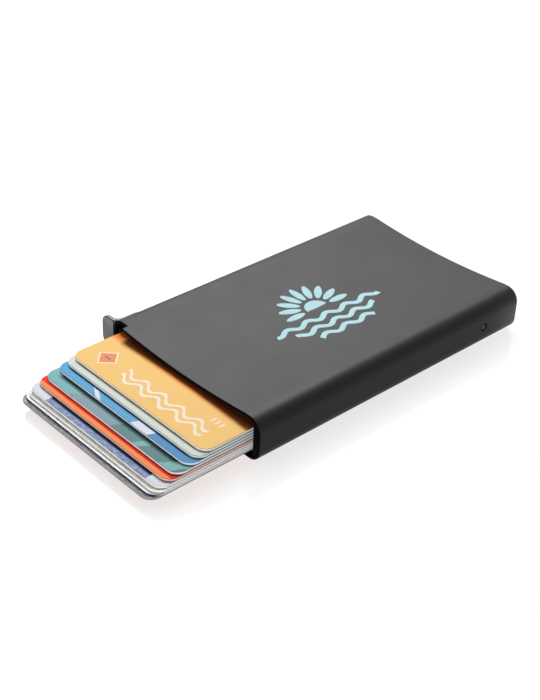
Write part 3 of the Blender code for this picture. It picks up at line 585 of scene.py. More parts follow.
def anodised(name, base, grain, gloss, painted_glint=None):
    """Blasted and anodised aluminium: fine grain in its relief, and faint clouds in its colour and
    gloss. The painted glint is a painted reflection of the bright floor: a paler tone that grows toward
    the far end of the right side, as the square of the nearness to that end."""
    finish = Finish(name, base, 0.5, Specular_IOR_Level=gloss)
    fine = finish.noise(grain, 3)
    clouds = finish.noise(9 * MM, 2)
    speckle = finish.span(fine, 0.3, 0.7)
    shade = finish.sum("MULTIPLY_ADD", speckle, 0.7, finish.sum("MULTIPLY", clouds, 0.3))
    ground = finish.tone(base, 0.16, shade)
    if painted_glint is not None:
        # Painted reflection: a paler patch low on the far end of the right side
        right, back, up = finish.axes(finish.moved(place=(CASE_HIGH.x, FAR_END, 0)))
        beside = finish.span(right, -1.8 * MM, -0.3 * MM)
        lower = finish.span(up, 5 * MM, 10.5 * MM, 1.0, 0.3)
        toward = finish.span(back, -16 * MM, 0)
        ground = finish.mix(finish.both(beside, lower, toward, toward), ground, painted_glint)
    finish.paint(ground)
    finish.join(finish.shader.inputs["Roughness"], finish.span(clouds, 0.3, 0.7, 0.45, 0.49))
    finish.relief(fine, 0.014 * MM, 0.5)
    return finish.material


def moulded(name, base, roughness, gloss=0.5):
    """Moulded plastic with a fine spark-eroded texture."""
    finish = Finish(name, base, roughness, Specular_IOR_Level=gloss)
    texture = finish.noise(0.22 * MM, 2)
    finish.paint(finish.tone(base, 0.08, texture))
    finish.relief(texture, 0.01 * MM, 0.5)
    return finish.material


def drawn_steel(name, base, direction):
    """Steel with fine streaks that run along a direction."""
    finish = Finish(name, base, 0.34, 1.0)
    stretch = tuple(12.0 if part else 1.0 for part in direction)
    streaks = finish.noise(0.12 * MM, 3, finish.moved(scale=stretch))
    finish.paint(finish.tone(base, 0.14, streaks))
    finish.join(finish.shader.inputs["Roughness"], finish.span(streaks, 0.3, 0.7, 0.26, 0.42))
    finish.relief(streaks, 0.004 * MM, 0.4)
    return finish.material


def brushed_felt(name, base):
    """Short felt: matted fibres in the relief, and a soft sheen."""
    finish = Finish(name, base, 0.95, Sheen_Weight=0.4)
    fibres = finish.noise(0.18 * MM, 4, finish.moved(scale=(1, 3, 1)), 0.7)
    finish.paint(finish.tone(base, 0.5, fibres))
    finish.relief(fibres, 0.12 * MM)
    return finish.material


def printed(name, base):
    """The ground of a card: satin laminate over print, with a very fine dither. Its across and along
    are measured from the card's front left corner."""
    finish = Finish(name, base, 0.5, Specular_IOR_Level=0.04)
    finish.across, finish.along, _ = finish.axes(finish.moved(place=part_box(name)[0]))
    finish.dither = finish.noise(0.25 * MM, 1)
    finish.relief(finish.noise(1.2 * MM, 1), 0.004 * MM, 0.3)
    return finish


def card_core(name, core, layer_and_gap_shade, front):
    """The cut edge of a card: a pale core between two darker layers, printed and with painted shade
    for the gaps between cards, all a little fibrous. The front edge keeps only a share of that
    brightness."""
    finish = Finish(name + "_edge", core, 0.55, Specular_IOR_Level=0.3 * front)
    low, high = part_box(name)
    _, along, height = finish.axes()
    fibre = finish.noise(0.3 * MM, 2)
    pale = finish.tone(core, 0.05, fibre)
    dark = finish.tone(layer_and_gap_shade, 0.12, fibre)
    middle = finish.band(height, (low.z + high.z) / 2, 0.6 * (high.z - low.z), 0.06 * MM)
    kept = finish.span(along, low.y + 1 * MM, low.y + 4 * MM, front, 1.0)
    finish.paint(finish.mix(1.0, finish.mix(middle, dark, pale), kept, "MULTIPLY"))
    finish.relief(fibre, 0.01 * MM, 0.4)
    return finish.material


def orange_print(name, base):
    """Warm orange ground, a white double wave, a small framed lozenge with a dash in it and three
    short bars. Toward the case it carries a painted shadow of the case: a redder penumbra, then a deeper
    core."""
    finish = printed(name, base)
    across, along = finish.across, finish.along
    clouds = finish.noise(6 * MM, 2)
    shade = finish.sum("MULTIPLY_ADD", finish.dither, 0.6, finish.sum("MULTIPLY", clouds, 0.4))
    ground = finish.tone(base, 0.05, shade)
    white = linear(255, 240, 226)

    crest_gap = 7 * MM
    swing = finish.sum("SINE", finish.sum("MULTIPLY", across, 2 * math.pi / crest_gap))
    line = finish.sum("SUBTRACT", along, finish.sum("MULTIPLY", swing, 1.1 * MM))
    stretch = finish.band(across, 32 * MM, 33 * MM, 0.1 * MM)
    marks = []
    for level in (4.1 * MM, 6.4 * MM):
        marks.append(finish.both(finish.band(line, level, 0.95 * MM), stretch))
    tall = finish.band(along, 10.0 * MM, 1.8 * MM)
    for place in (45.5 * MM, 47.1 * MM, 48.7 * MM):
        marks.append(finish.both(finish.band(across, place, 0.55 * MM), tall))
    ground = finish.mix(finish.either(*marks), ground, white)

    side = finish.sum("ABSOLUTE", finish.sum("SUBTRACT", across, 7.6 * MM))
    rise = finish.sum("ABSOLUTE", finish.sum("SUBTRACT", along, 6.4 * MM))
    reach = finish.sum("ADD", side, rise)
    frame_mask = finish.span(reach, 3.6 * MM, 3.5 * MM)
    field_mask = finish.span(reach, 3.0 * MM, 2.9 * MM)
    dash = finish.both(finish.band(side, 0.0, 2.4 * MM), finish.band(rise, 0.0, 0.6 * MM))
    ground = finish.mix(frame_mask, ground, white)
    ground = finish.mix(field_mask, ground, linear(246, 150, 84))
    ground = finish.mix(dash, ground, linear(140, 120, 205))

    # Painted shadow of the case's mouth on the card: a redder penumbra, then a deeper core, kept off the
    # left corner
    painted_warm_penumbra = finish.span(along, 12.7 * MM, 14.1 * MM)
    painted_shadow_core = finish.span(along, 14.6 * MM, 15.6 * MM)
    beside = finish.span(across, 2 * MM, 5 * MM)
    ground = finish.mix(painted_warm_penumbra, ground, linear(255, 148, 58))
    finish.paint(finish.mix(finish.both(painted_shadow_core, beside), ground, linear(188, 90, 68)))
    return finish.material


def pale_print(name, base):
    """Pale green ground with fine wavy security lines, and a warm painted shade at the rear."""
    finish = printed(name, base)
    bend = finish.sum("MULTIPLY", finish.noise(9 * MM, 1), 5 * MM)
    line = finish.sum("ADD", finish.sum("ADD", finish.across, finish.along), bend)
    line_gap = 0.9 * MM
    comb = finish.sum("SINE", finish.sum("MULTIPLY", line, 2 * math.pi / line_gap))
    ground = finish.tone(base, 0.03, finish.dither)
    lined = finish.mix(finish.span(comb, 0.2, 1.0, 0.0, 0.35), ground, linear(186, 204, 200))
    # Painted shade where the orange card above shades the rear of the strip
    finish.paint(finish.mix(finish.rear_shade(1.4 * MM, 2.1 * MM), lined, linear(184, 176, 152)))
    return finish.material


def blue_print(name, base):
    """Sky blue, darker to the right, crossed by a narrow and a wide pale slanted band, with painted
    shade to the rear.
    """
    finish = printed(name, base)
    steep = finish.sum("MULTIPLY_ADD", finish.along, 1.7, finish.across)
    upright = finish.sum("MULTIPLY_ADD", finish.along, -0.45, finish.across)
    deep = finish.mix(finish.span(finish.across, 33 * MM, 36 * MM), base, linear(78, 142, 194))
    ground = finish.mix(finish.span(finish.dither, 0.3, 0.7, 0.0, 0.06), deep, linear(255, 255, 255))
    narrow = finish.band(steep, 18.5 * MM, 2.2 * MM)
    wide = finish.band(upright, 34.8 * MM, 6.6 * MM)
    banded = finish.mix(finish.either(narrow, wide), ground, linear(226, 234, 244))
    # Painted shade where the pale card above shades the rear of the strip
    finish.paint(finish.mix(finish.rear_shade(1.95 * MM, 2.3 * MM), banded, linear(2, 72, 130)))
    return finish.material


def teal_print(name, base):
    """Slanted fields of three teal tones, two light patches in the darkest, and painted shade to the
    rear.
    """
    finish = printed(name, base)
    rough = finish.sum("MULTIPLY", finish.noise(2.5 * MM, 1), 1.2 * MM)
    slant = finish.sum("ADD", finish.sum("MULTIPLY_ADD", finish.along, -0.58, finish.across), rough)
    grey = finish.mix(finish.span(slant, 11.9 * MM, 12.1 * MM), base, linear(138, 167, 178))
    dark = finish.mix(finish.span(slant, 28.9 * MM, 29.1 * MM), grey, linear(102, 141, 142))
    narrow = finish.band(slant, 39 * MM, 2.4 * MM)
    wide = finish.band(slant, 50.2 * MM, 4.0 * MM)
    patches = finish.sum("MULTIPLY", finish.either(narrow, wide), 0.75)
    light = finish.mix(patches, dark, linear(140, 200, 190))
    ground = finish.mix(finish.span(finish.dither, 0.3, 0.7, 0.0, 0.1), light, linear(60, 84, 84))
    # Painted shade where the blue card above shades the rear of the strip
    finish.paint(finish.mix(finish.rear_shade(2.2 * MM, 3.2 * MM), ground, linear(6, 42, 48)))
    return finish.material


def red_print(name, base):
    """Orange along the front edge, and a red painted shade behind it, where the teal card above shades
    it.
    """
    finish = printed(name, base)
    ground = finish.tone(base, 0.05, finish.dither)
    # Painted shade: the rear of the strip turns deep red, as in the shadow of the teal card above
    rear = finish.span(finish.along, 1.2 * MM, 1.5 * MM)
    finish.paint(finish.mix(rear, ground, linear(242, 50, 20)))
    return finish.material


def violet_print(name, base):
    """A fine woven violet-blue pattern between two pale ends, with painted shade to the rear."""
    finish = printed(name, base)
    weave = finish.noise(0.8 * MM, 3, finish.moved(scale=(1.6, 1, 1)), 0.6)
    ground = finish.mix(finish.span(weave, 0.35, 0.65), base, linear(158, 176, 208))
    # Painted shade where the red card above shades the rear of the strip
    shaded = finish.mix(finish.rear_shade(1.4 * MM, 1.85 * MM), ground, linear(8, 10, 44))
    woven = finish.band(finish.across, 28.2 * MM, 40.6 * MM, 0.2 * MM)
    finish.paint(finish.mix(woven, linear(222, 228, 238), shaded))
    return finish.material


def cream_print(name, base):
    """A pale ground with a greyer painted shade strip along its front edge."""
    finish = printed(name, base)
    ground = finish.tone(base, 0.04, finish.dither)
    # Painted shade: a greyer strip along the front edge
    strip = finish.span(finish.along, 0.45 * MM, 0.3 * MM)
    finish.paint(finish.mix(strip, ground, linear(196, 197, 190)))
    return finish.material


def grey_print(name, base):
    """A grey ground with a painted light strip a little behind its front edge, lifting the shade that
    the white card above casts there.
    """
    finish = printed(name, base)
    ground = finish.tone(base, 0.04, finish.dither)
    # Painted light: a near-white strip where the white card above casts its shadow
    strip = finish.both(
        finish.span(finish.along, 0.25 * MM, 0.55 * MM),
        finish.span(finish.along, 1.6 * MM, 1.3 * MM),
        finish.span(finish.across, 1.5 * MM, 4 * MM),
    )
    finish.paint(finish.mix(strip, ground, linear(255, 250, 255)))
    return finish.material


def plain_print(name, base):
    """A plain ground with a fine speckle."""
    finish = printed(name, base)
    finish.paint(finish.tone(base, 0.04, finish.dither))
    return finish.material


# Each card's cut edge: its core, the layers over and under it, darkened also as painted shade for the
# gaps between cards, and how bright its front edge stays
EDGES = {
    "orange": ((248, 245, 240), (146, 138, 122), 1.0),
    "pale": ((228, 233, 225), (132, 132, 120), 1.0),
    "blue": ((238, 247, 254), (108, 126, 146), 1.0),
    "teal": ((242, 242, 244), (136, 138, 142), 1.0),
    "red": ((234, 204, 188), (108, 52, 48), 1.0),
    "violet": ((248, 246, 242), (206, 200, 196), 1.0),
    "cream": ((254, 254, 252), (240, 240, 236), 1.0),
    "white": ((240, 240, 242), (180, 180, 186), 0.04),
    "grey": ((150, 147, 154), (150, 148, 160), 1.0),
}
PRINTS = {
    "orange": orange_print,
    "pale": pale_print,
    "blue": blue_print,
    "teal": teal_print,
    "red": red_print,
    "violet": violet_print,
    "cream": cream_print,
    "white": plain_print,
    "grey": grey_print,
}


class HOLDER_OT_case(Operator):
    """Builds the tube, with its notch, slot and pin hole"""

    bl_idname = "holder.case"
    bl_label = "Case"

    def execute(self, context):
        case = context.scene.holder_case
        outside = quarter(case.edge)
        inside = [(case.wall - inset, depth) for inset, depth in reversed(outside)]
        near = [(inset, MOUTH + depth) for inset, depth in outside]
        far = [(inset, FAR_END - depth) for inset, depth in reversed(outside)]
        far_inside = [(inset, FAR_END - depth) for inset, depth in reversed(inside)]
        near_inside = [(inset, MOUTH + depth) for inset, depth in inside]
        path = near + far + far_inside + near_inside
        rings = [stood(case_section(inset), along) for inset, along in path]
        shell = anodised("anodised_graphite_finish", case.tint, case.grain, 0.155, case.painted_glint)
        # Painted shade: the inside and the cut ends get a near-black finish, darker than the anodising
        # outside
        dark = anodised("inner_graphite_finish", case.inside, case.grain, 0.01)
        tube = new_piece("case_tube", [skin(rings, wrap=True)], shell, dark)

        past = 2 * MM
        notch_low = (CASE_LOW.x - past, MOUTH - past)
        notch_high = (CASE_LOW.x + case.notch_width, MOUTH + case.notch_depth)
        notch = rounded_box(notch_low, notch_high, 0.12 * MM, 4)
        slot_low = (MOUTH + case.slot_start, MID_HEIGHT - case.slot_height / 2)
        slot_high = (slot_low[0] + case.slot_length, MID_HEIGHT + case.slot_height / 2)
        slot = rounded_box(slot_low, slot_high, case.slot_height / 2)
        hole = [(case.pin_hole, -past), (case.pin_hole, past)]
        shaped(
            tube,
            "DIFFERENCE",
            slab(notch, -past, CASE_HEIGHT + past),
            bar(slot, CASE_LOW.x - past, CASE_LOW.x + past),
            turned(hole, middle_of("retention_pin", CASE_HIGH.x)),
        )
        rounded(tube, case.cut_edge)
        self.darken_inside(tube)
        settle(tube, "case", "anodised_graphite", "case_shell")
        return {"FINISHED"}

    def darken_inside(self, tube):
        """Gives the faces inside the tube and at its cut ends the inner finish, the anodising darkened
        to near-black as painted shade: their normals point toward the tube's axis, or mostly along it."""
        normals = face_values(tube.data, "normal")
        inwards = np.array((CASE_MIDDLE, 0, MID_HEIGHT)) - face_values(tube.data, "center")
        inwards[:, 1] = 0
        facing = (inwards * normals).sum(1) > 0
        cut_end = np.abs(normals[:, 1]) > 0.6
        use_second_finish(tube.data, facing | cut_end)


class HOLDER_OT_cards(Operator):
    """Builds the nine cards"""

    bl_idname = "holder.cards"
    bl_label = "Cards"

    def execute(self, context):
        cards = context.scene.holder_cards
        for node in CARD_NODES:
            low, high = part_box(node)
            rings = [(inset, high.z - depth) for inset, depth in quarter(cards.edge, 4)]
            rings += [(inset, low.z + high.z - height) for inset, height in reversed(rings)]
            outlines = []
            for inset, height in rings:
                corner_low = (low.x + inset, low.y + inset)
                corner_high = (high.x - inset, high.y - inset)
                outline = rounded_box(corner_low, corner_high, cards.corner - inset, 20)
                outlines.append(laid(outline, height))
            name = node.split("_")[2]
            face = PRINTS[name](node, getattr(cards, name))
            core, layer_and_gap_shade, front = EDGES[name]
            edge = card_core(node, linear(*core), linear(*layer_and_gap_shade), front)
            piece = new_piece(f"{name}_card", [skin(outlines)], face, edge)
            flatness = np.abs(face_values(piece.data, "normal")[:, 2])
            use_second_finish(piece.data, flatness < 0.6)
            smooth(piece, 50)
            settle(piece, node[:6], node, node)
        return {"FINISHED"}


class HOLDER_OT_tab(Operator):
    """Builds the thumb tab and its two screws"""

    bl_idname = "holder.tab"
    bl_label = "Thumb tab"

    def execute(self, context):
        tab = context.scene.holder_tab
        low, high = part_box("thumb_tab")
        inner = CASE_LOW.x - tab.gap
        rear = low.y + tab.plate
        pad_outer = inner - tab.pad
        middle = (low.z + high.z) / 2
        steps = quarter(tab.edge)
        path = [(inset, low.y + depth) for inset, depth in steps]
        path += [(inset, rear - depth) for inset, depth in reversed(steps)]
        plate = [stood(self.plate_outline(low, high, inner, inset), along) for inset, along in path]
        grain = context.scene.holder_case.grain
        finish = anodised("tab_graphite_finish", tab.tint, grain, 0.25)
        rim = anodised("tab_rim_finish", tab.rim, grain, 0.03)
        lever = new_piece("thumb_lever", [skin(plate)], finish, rim)

        ramp = (pad_outer - tab.ramp, rear + tab.ramp)
        within = rear - tab.plate / 2
        side = np.vstack(
            (
                [(inner, within), (ramp[0], within)],
                arc(ramp, tab.ramp, -90, 0, 24),
                [(pad_outer, high.y - tab.pad_taper), (inner - tab.pad_tip, high.y), (inner, high.y)],
            )
        )
        half = tab.pad_height / 2
        pad = slab(side, middle - half, middle + half)
        half_neck = tab.neck_height / 2
        neck_low = (rear + tab.neck_start, middle - half_neck)
        neck_high = (neck_low[0] + tab.neck_length, middle + half_neck)
        neck = bar(rounded_box(neck_low, neck_high, half_neck), inner - tab.pad / 2, high.x)
        shaped(lever, "UNION", pad, neck)
        self.sink_screws(lever, pad_outer)
        rounded(lever, tab.cut_edge, 2, 40)
        self.darken_rim(lever, rear)
        settle(lever, "slider", "tab_graphite", "thumb_tab")
        self.screws(context)
        return {"FINISHED"}

    def plate_outline(self, low, high, inner, inset):
        """The plate's outline (across, height): quarter circles on the left, square on the right."""
        corner = bpy.context.scene.holder_tab.corner
        return np.vstack(
            (
                arc((low.x + corner, high.z - corner), corner - inset, 90, 180, 20),
                arc((low.x + corner, low.z + corner), corner - inset, 180, 270, 20),
                [(inner - inset, low.z + inset), (inner - inset, high.z - inset)],
            )
        )

    def darken_rim(self, lever, rear):
        """Gives the rounded edges of the plate the rim's finish: their faces lean out of its plane."""
        lean = np.abs(face_values(lever.data, "normal")[:, 1])
        in_front = face_values(lever.data, "center")[:, 1] < rear
        use_second_finish(lever.data, (lean > 0.15) & (lean < 0.97) & in_front)

    def sink_screws(self, lever, surface):
        """Cuts a round seat for each screw's head into the pad."""
        fittings = bpy.context.scene.holder_fittings
        clear = 0.1 * MM
        sinks = []
        for node in TAB_SCREWS:
            radius = half_height(node) + clear
            seat = [(radius, -1 * MM), (radius, fittings.screw_head + clear)]
            sinks.append(turned(seat, middle_of(node, surface)))
        shaped(lever, "DIFFERENCE", *sinks)

    def screws(self, context):
        """Each screw is a turned head and shank, with a driver slot cut across its head."""
        fittings = context.scene.holder_fittings
        steel = drawn_steel("screw_steel", fittings.steel, (0, 0, 1))
        break_width = 0.12 * MM
        shank = fittings.screw_shank
        for node in TAB_SCREWS:
            low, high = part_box(node)
            head = half_height(node)
            length = high.x - low.x
            profile = [
                (head * 0.3, 0),
                (head - break_width, 0),
                (head, break_width),
                (head, fittings.screw_head - break_width),
                (shank, fittings.screw_head + 2 * break_width),
                (shank, length - shank / 2),
                (shank / 2, length),
            ]
            place = middle_of(node, low.x)
            screw = new_piece(node.replace("tab", "lever"), [turned(profile, place)], steel)
            half = fittings.screw_slot / 2
            slot_low = (place[1] - half, low.z - head)
            slot_high = (place[1] + half, high.z + head)
            slot = rounded_box(slot_low, slot_high, half / 2, 3)
            shaped(screw, "DIFFERENCE", bar(slot, low.x - head, low.x + fittings.screw_head / 2))
            smooth(screw, 30)
            settle(screw, "slider", "small_steel", node)


class HOLDER_OT_pin(Operator):
    """Builds the retention pin on the right side"""

    bl_idname = "holder.pin"
    bl_label = "Retention pin"

    def execute(self, context):
        fittings = context.scene.holder_fittings
        low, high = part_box("retention_pin")
        radius = half_height("retention_pin") - 0.1 * MM
        chamfer = 0.16 * MM
        dimple = radius * 0.55
        sunk = 0.02 * MM
        profile = [
            (0.08 * radius, -0.3 * MM),
            (dimple, -0.05 * MM),
            (dimple + 0.1 * MM, 0),
            (radius - chamfer, 0),
            (radius, -chamfer),
            (radius, low.x - high.x),
            (0.1 * radius, low.x - high.x),
        ]
        place = middle_of("retention_pin", CASE_HIGH.x - sunk)
        steel = drawn_steel("pin_steel_finish", fittings.pin, (1, 0, 0))
        pin = new_piece("side_pin", [turned(profile, place)], steel)
        smooth(pin, 30)
        settle(pin, "case", "pin_steel", "retention_pin")
        return {"FINISHED"}


class HOLDER_OT_plug(Operator):
    """Builds the end plug with its rim, pin arm and heel pad"""

    bl_idname = "holder.plug"
    bl_label = "End plug"

    def execute(self, context):
        case = context.scene.holder_case
        fittings = context.scene.holder_fittings
        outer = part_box("end_plug")[1].y
        inner = outer - fittings.plug_plate
        seat = case.wall + fittings.plug_gap
        chamfer = 0.25 * MM
        steps = [
            (seat, inner),
            (seat, outer - chamfer),
            (seat + chamfer / 3, outer - chamfer / 3),
            (seat + chamfer, outer),
            (seat + fittings.plug_rim, outer),
            (seat + fittings.plug_rim + chamfer / 2, outer - fittings.plug_sink),
        ]
        rings = [stood(case_section(inset, 49, 16), along) for inset, along in steps]
        plastic = moulded("plug_plastic", fittings.plastic, 0.48)
        cap = new_piece("end_cap", [skin(rings)], plastic)
        arm, pad, bore = self.inner_half(inner)
        shaped(cap, "UNION", arm, pad)
        shaped(cap, "DIFFERENCE", bore)
        smooth(cap, 32)
        settle(cap, "case", "black_plastic", "end_plug")
        return {"FINISHED"}

    def inner_half(self, inner):
        """The pin arm on the right side, the heel pad beside the spring, and the bore for the pin."""
        fittings = bpy.context.scene.holder_fittings
        low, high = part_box("end_plug")
        joined = inner + fittings.plug_plate / 2
        outer = high.x - fittings.arm_gap
        edge = fittings.plug_edge
        arm = rounded_box((outer - fittings.arm_width, low.y), (outer, joined), edge, 6)
        pad_low = (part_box("card_spring")[1].x + fittings.heel_start, inner - fittings.heel_depth)
        pad = rounded_box(pad_low, (outer - fittings.arm_width / 2, joined), edge, 6)
        half_arm = fittings.arm_height / 2
        half_pad = fittings.heel_height / 2
        radius = half_height("retention_pin") + fittings.plug_gap
        bore = [(radius, -3 * fittings.arm_width), (radius, fittings.arm_width)]
        return (
            slab(arm, MID_HEIGHT - half_arm, MID_HEIGHT + half_arm),
            slab(pad, MID_HEIGHT - half_pad, MID_HEIGHT + half_pad),
            turned(bore, middle_of("retention_pin", outer)),
        )


class HOLDER_OT_inner(Operator):
    """Dresses the rail, the arm, the spring, the rivets and the felt inside the case"""

    bl_idname = "holder.inner"
    bl_label = "Inner pieces"

    def execute(self, context):
        fittings = context.scene.holder_fittings
        steel = drawn_steel("spring_steel_finish", fittings.steel, (1, 0, 0))
        rivets = drawn_steel("rivet_steel_finish", fittings.steel, (0, 0, 1))
        rail = moulded("rail_plastic", fittings.channel, 0.5, 0.03)
        arm = moulded("ejector_plastic", fittings.arm, 0.5)
        felt = brushed_felt("felt_finish", fittings.felt)
        softened("rail_bar", "slider_rail", "slider", "slider_plastic", rail, 0.15 * MM)
        softened("stepped_arm", "ejector_arm", "ejector", "arm_plastic", arm, 0.08 * MM)
        softened("leaf_spring", "card_spring", "case", "spring_steel", steel, 0.04 * MM)
        softened("arm_rivet", "arm_pivot_rivet", "slider", "small_steel", rivets, 0.06 * MM)
        softened("guide_strip", "card_guide", "case", "black_plastic", rail, 0.12 * MM)
        width = 0.05 * MM
        for side in ("left", "right"):
            rivet = f"spring_rivet_{side}"
            softened(f"leaf_rivet_{side}", rivet, "case", "small_steel", rivets, width)
            strip = f"felt_strip_{side}"
            softened(f"felt_pad_{side}", strip, "case", "black_felt", felt, width)
        return {"FINISHED"}


def softened(name, node, body, slot, finish, width):
    """A copy of a node with its triangles merged into flat faces and its sharp edges rounded."""
    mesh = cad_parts[node].data.copy()
    mesh.name = name
    shape = bmesh.new()
    shape.from_mesh(mesh)
    bmesh.ops.remove_doubles(shape, verts=shape.verts, dist=SAME_PLACE)
    flat = math.radians(0.5)
    bmesh.ops.dissolve_limit(shape, angle_limit=flat, verts=shape.verts, edges=shape.edges)
    shape.to_mesh(mesh)
    shape.free()
    mesh.materials.clear()
    mesh.materials.append(finish)
    piece = bpy.data.objects.new(name, mesh)
    bpy.context.scene.collection.objects.link(piece)
    rounded(piece, width, 2, 30)
    return settle(piece, body, slot, node)


class HOLDER_OT_emblem(Operator):
    """Prints a plain ornament on the upper face: half a disc with leaves round it, over three waves"""

    bl_idname = "holder.emblem"
    bl_label = "Printed ornament"

    def execute(self, context):
        emblem = context.scene.holder_emblem
        ink = Finish("pale_ink", emblem.ink, 0.6, Specular_IOR_Level=0.14)
        speckle = ink.noise(0.3 * MM, 2)
        ink.paint(ink.tone(emblem.ink, 0.04, speckle))
        ink.relief(speckle, 0.005 * MM, 0.4)
        parts = [self.half_disc(), *self.rays(), *self.waves()]
        piece = new_piece("ornament_print", parts, ink.material)
        settle(piece, "case", "anodised_graphite")
        return {"FINISHED"}

    def half_disc(self):
        """A half disc, as a strip along a half circle of half its radius and as wide as its radius."""
        radius = bpy.context.scene.holder_emblem.disc
        return self.ribbon(self.raised(arc((0, 0), radius / 2, 0, 180, 33)), radius)

    def rays(self):
        """Leaves that fan out of the disc: straight lines, their width as the root of sin(pi * t)."""
        emblem = bpy.context.scene.holder_emblem
        stations = 33
        leaf_count = 9
        reach = np.linspace(emblem.disc + emblem.line, emblem.radius, stations)
        swell = np.sqrt(np.sin(np.pi * np.linspace(0.01, 0.99, stations)))
        width = 1.9 * emblem.line * swell
        leaves = []
        for angle in np.radians(np.linspace(0, 180, leaf_count)):
            line = np.column_stack((reach * math.cos(angle), reach * math.sin(angle)))
            leaves.append(self.ribbon(self.raised(line), width))
        return leaves

    def waves(self):
        """Three lines of water under the disc, each shorter than the one above: level + swing * cos."""
        emblem = bpy.context.scene.holder_emblem
        swing = 0.7 * emblem.line
        width = 1.35 * emblem.line
        lines = []
        for row, share_kept in enumerate((1.0, 0.76, 0.52)):
            half = emblem.span / 2 * share_kept
            along = np.linspace(-half, half, 129)
            level = -(2.6 + 3.3 * row) * emblem.line
            height = level + swing * np.cos(along * 2 * np.pi / emblem.wave)
            lines.append(self.ribbon(np.column_stack((along, height)), width))
        return lines

    def raised(self, line):
        """A line moved up by the height of the disc's base."""
        return line + np.array((0, bpy.context.scene.holder_emblem.line))

    def ribbon(self, line, width):
        """A thin raised strip of print along a line (right, up) on the upper face. It has four points
        to a station: the line moved half the width to each side, a little under the face and a little
        above it."""
        emblem = bpy.context.scene.holder_emblem
        step = np.gradient(line, axis=0)
        step /= np.linalg.norm(step, axis=1)[:, None]
        normal = np.column_stack((-step[:, 1], step[:, 0])) * np.reshape(width, (-1, 1)) / 2
        stations = []
        under = -0.05 * MM
        above = 0.02 * MM
        for side, lift in ((normal, under), (normal, above), (-normal, above), (-normal, under)):
            right, up = (line + side).T
            across = emblem.across - up
            along = MOUTH + emblem.centre + right
            height = CASE_HEIGHT - dish_height(across, 0.0) + lift
            stations.append(np.column_stack((across + CASE_MIDDLE, along, height)))
        return skin(np.stack(stations, axis=1))


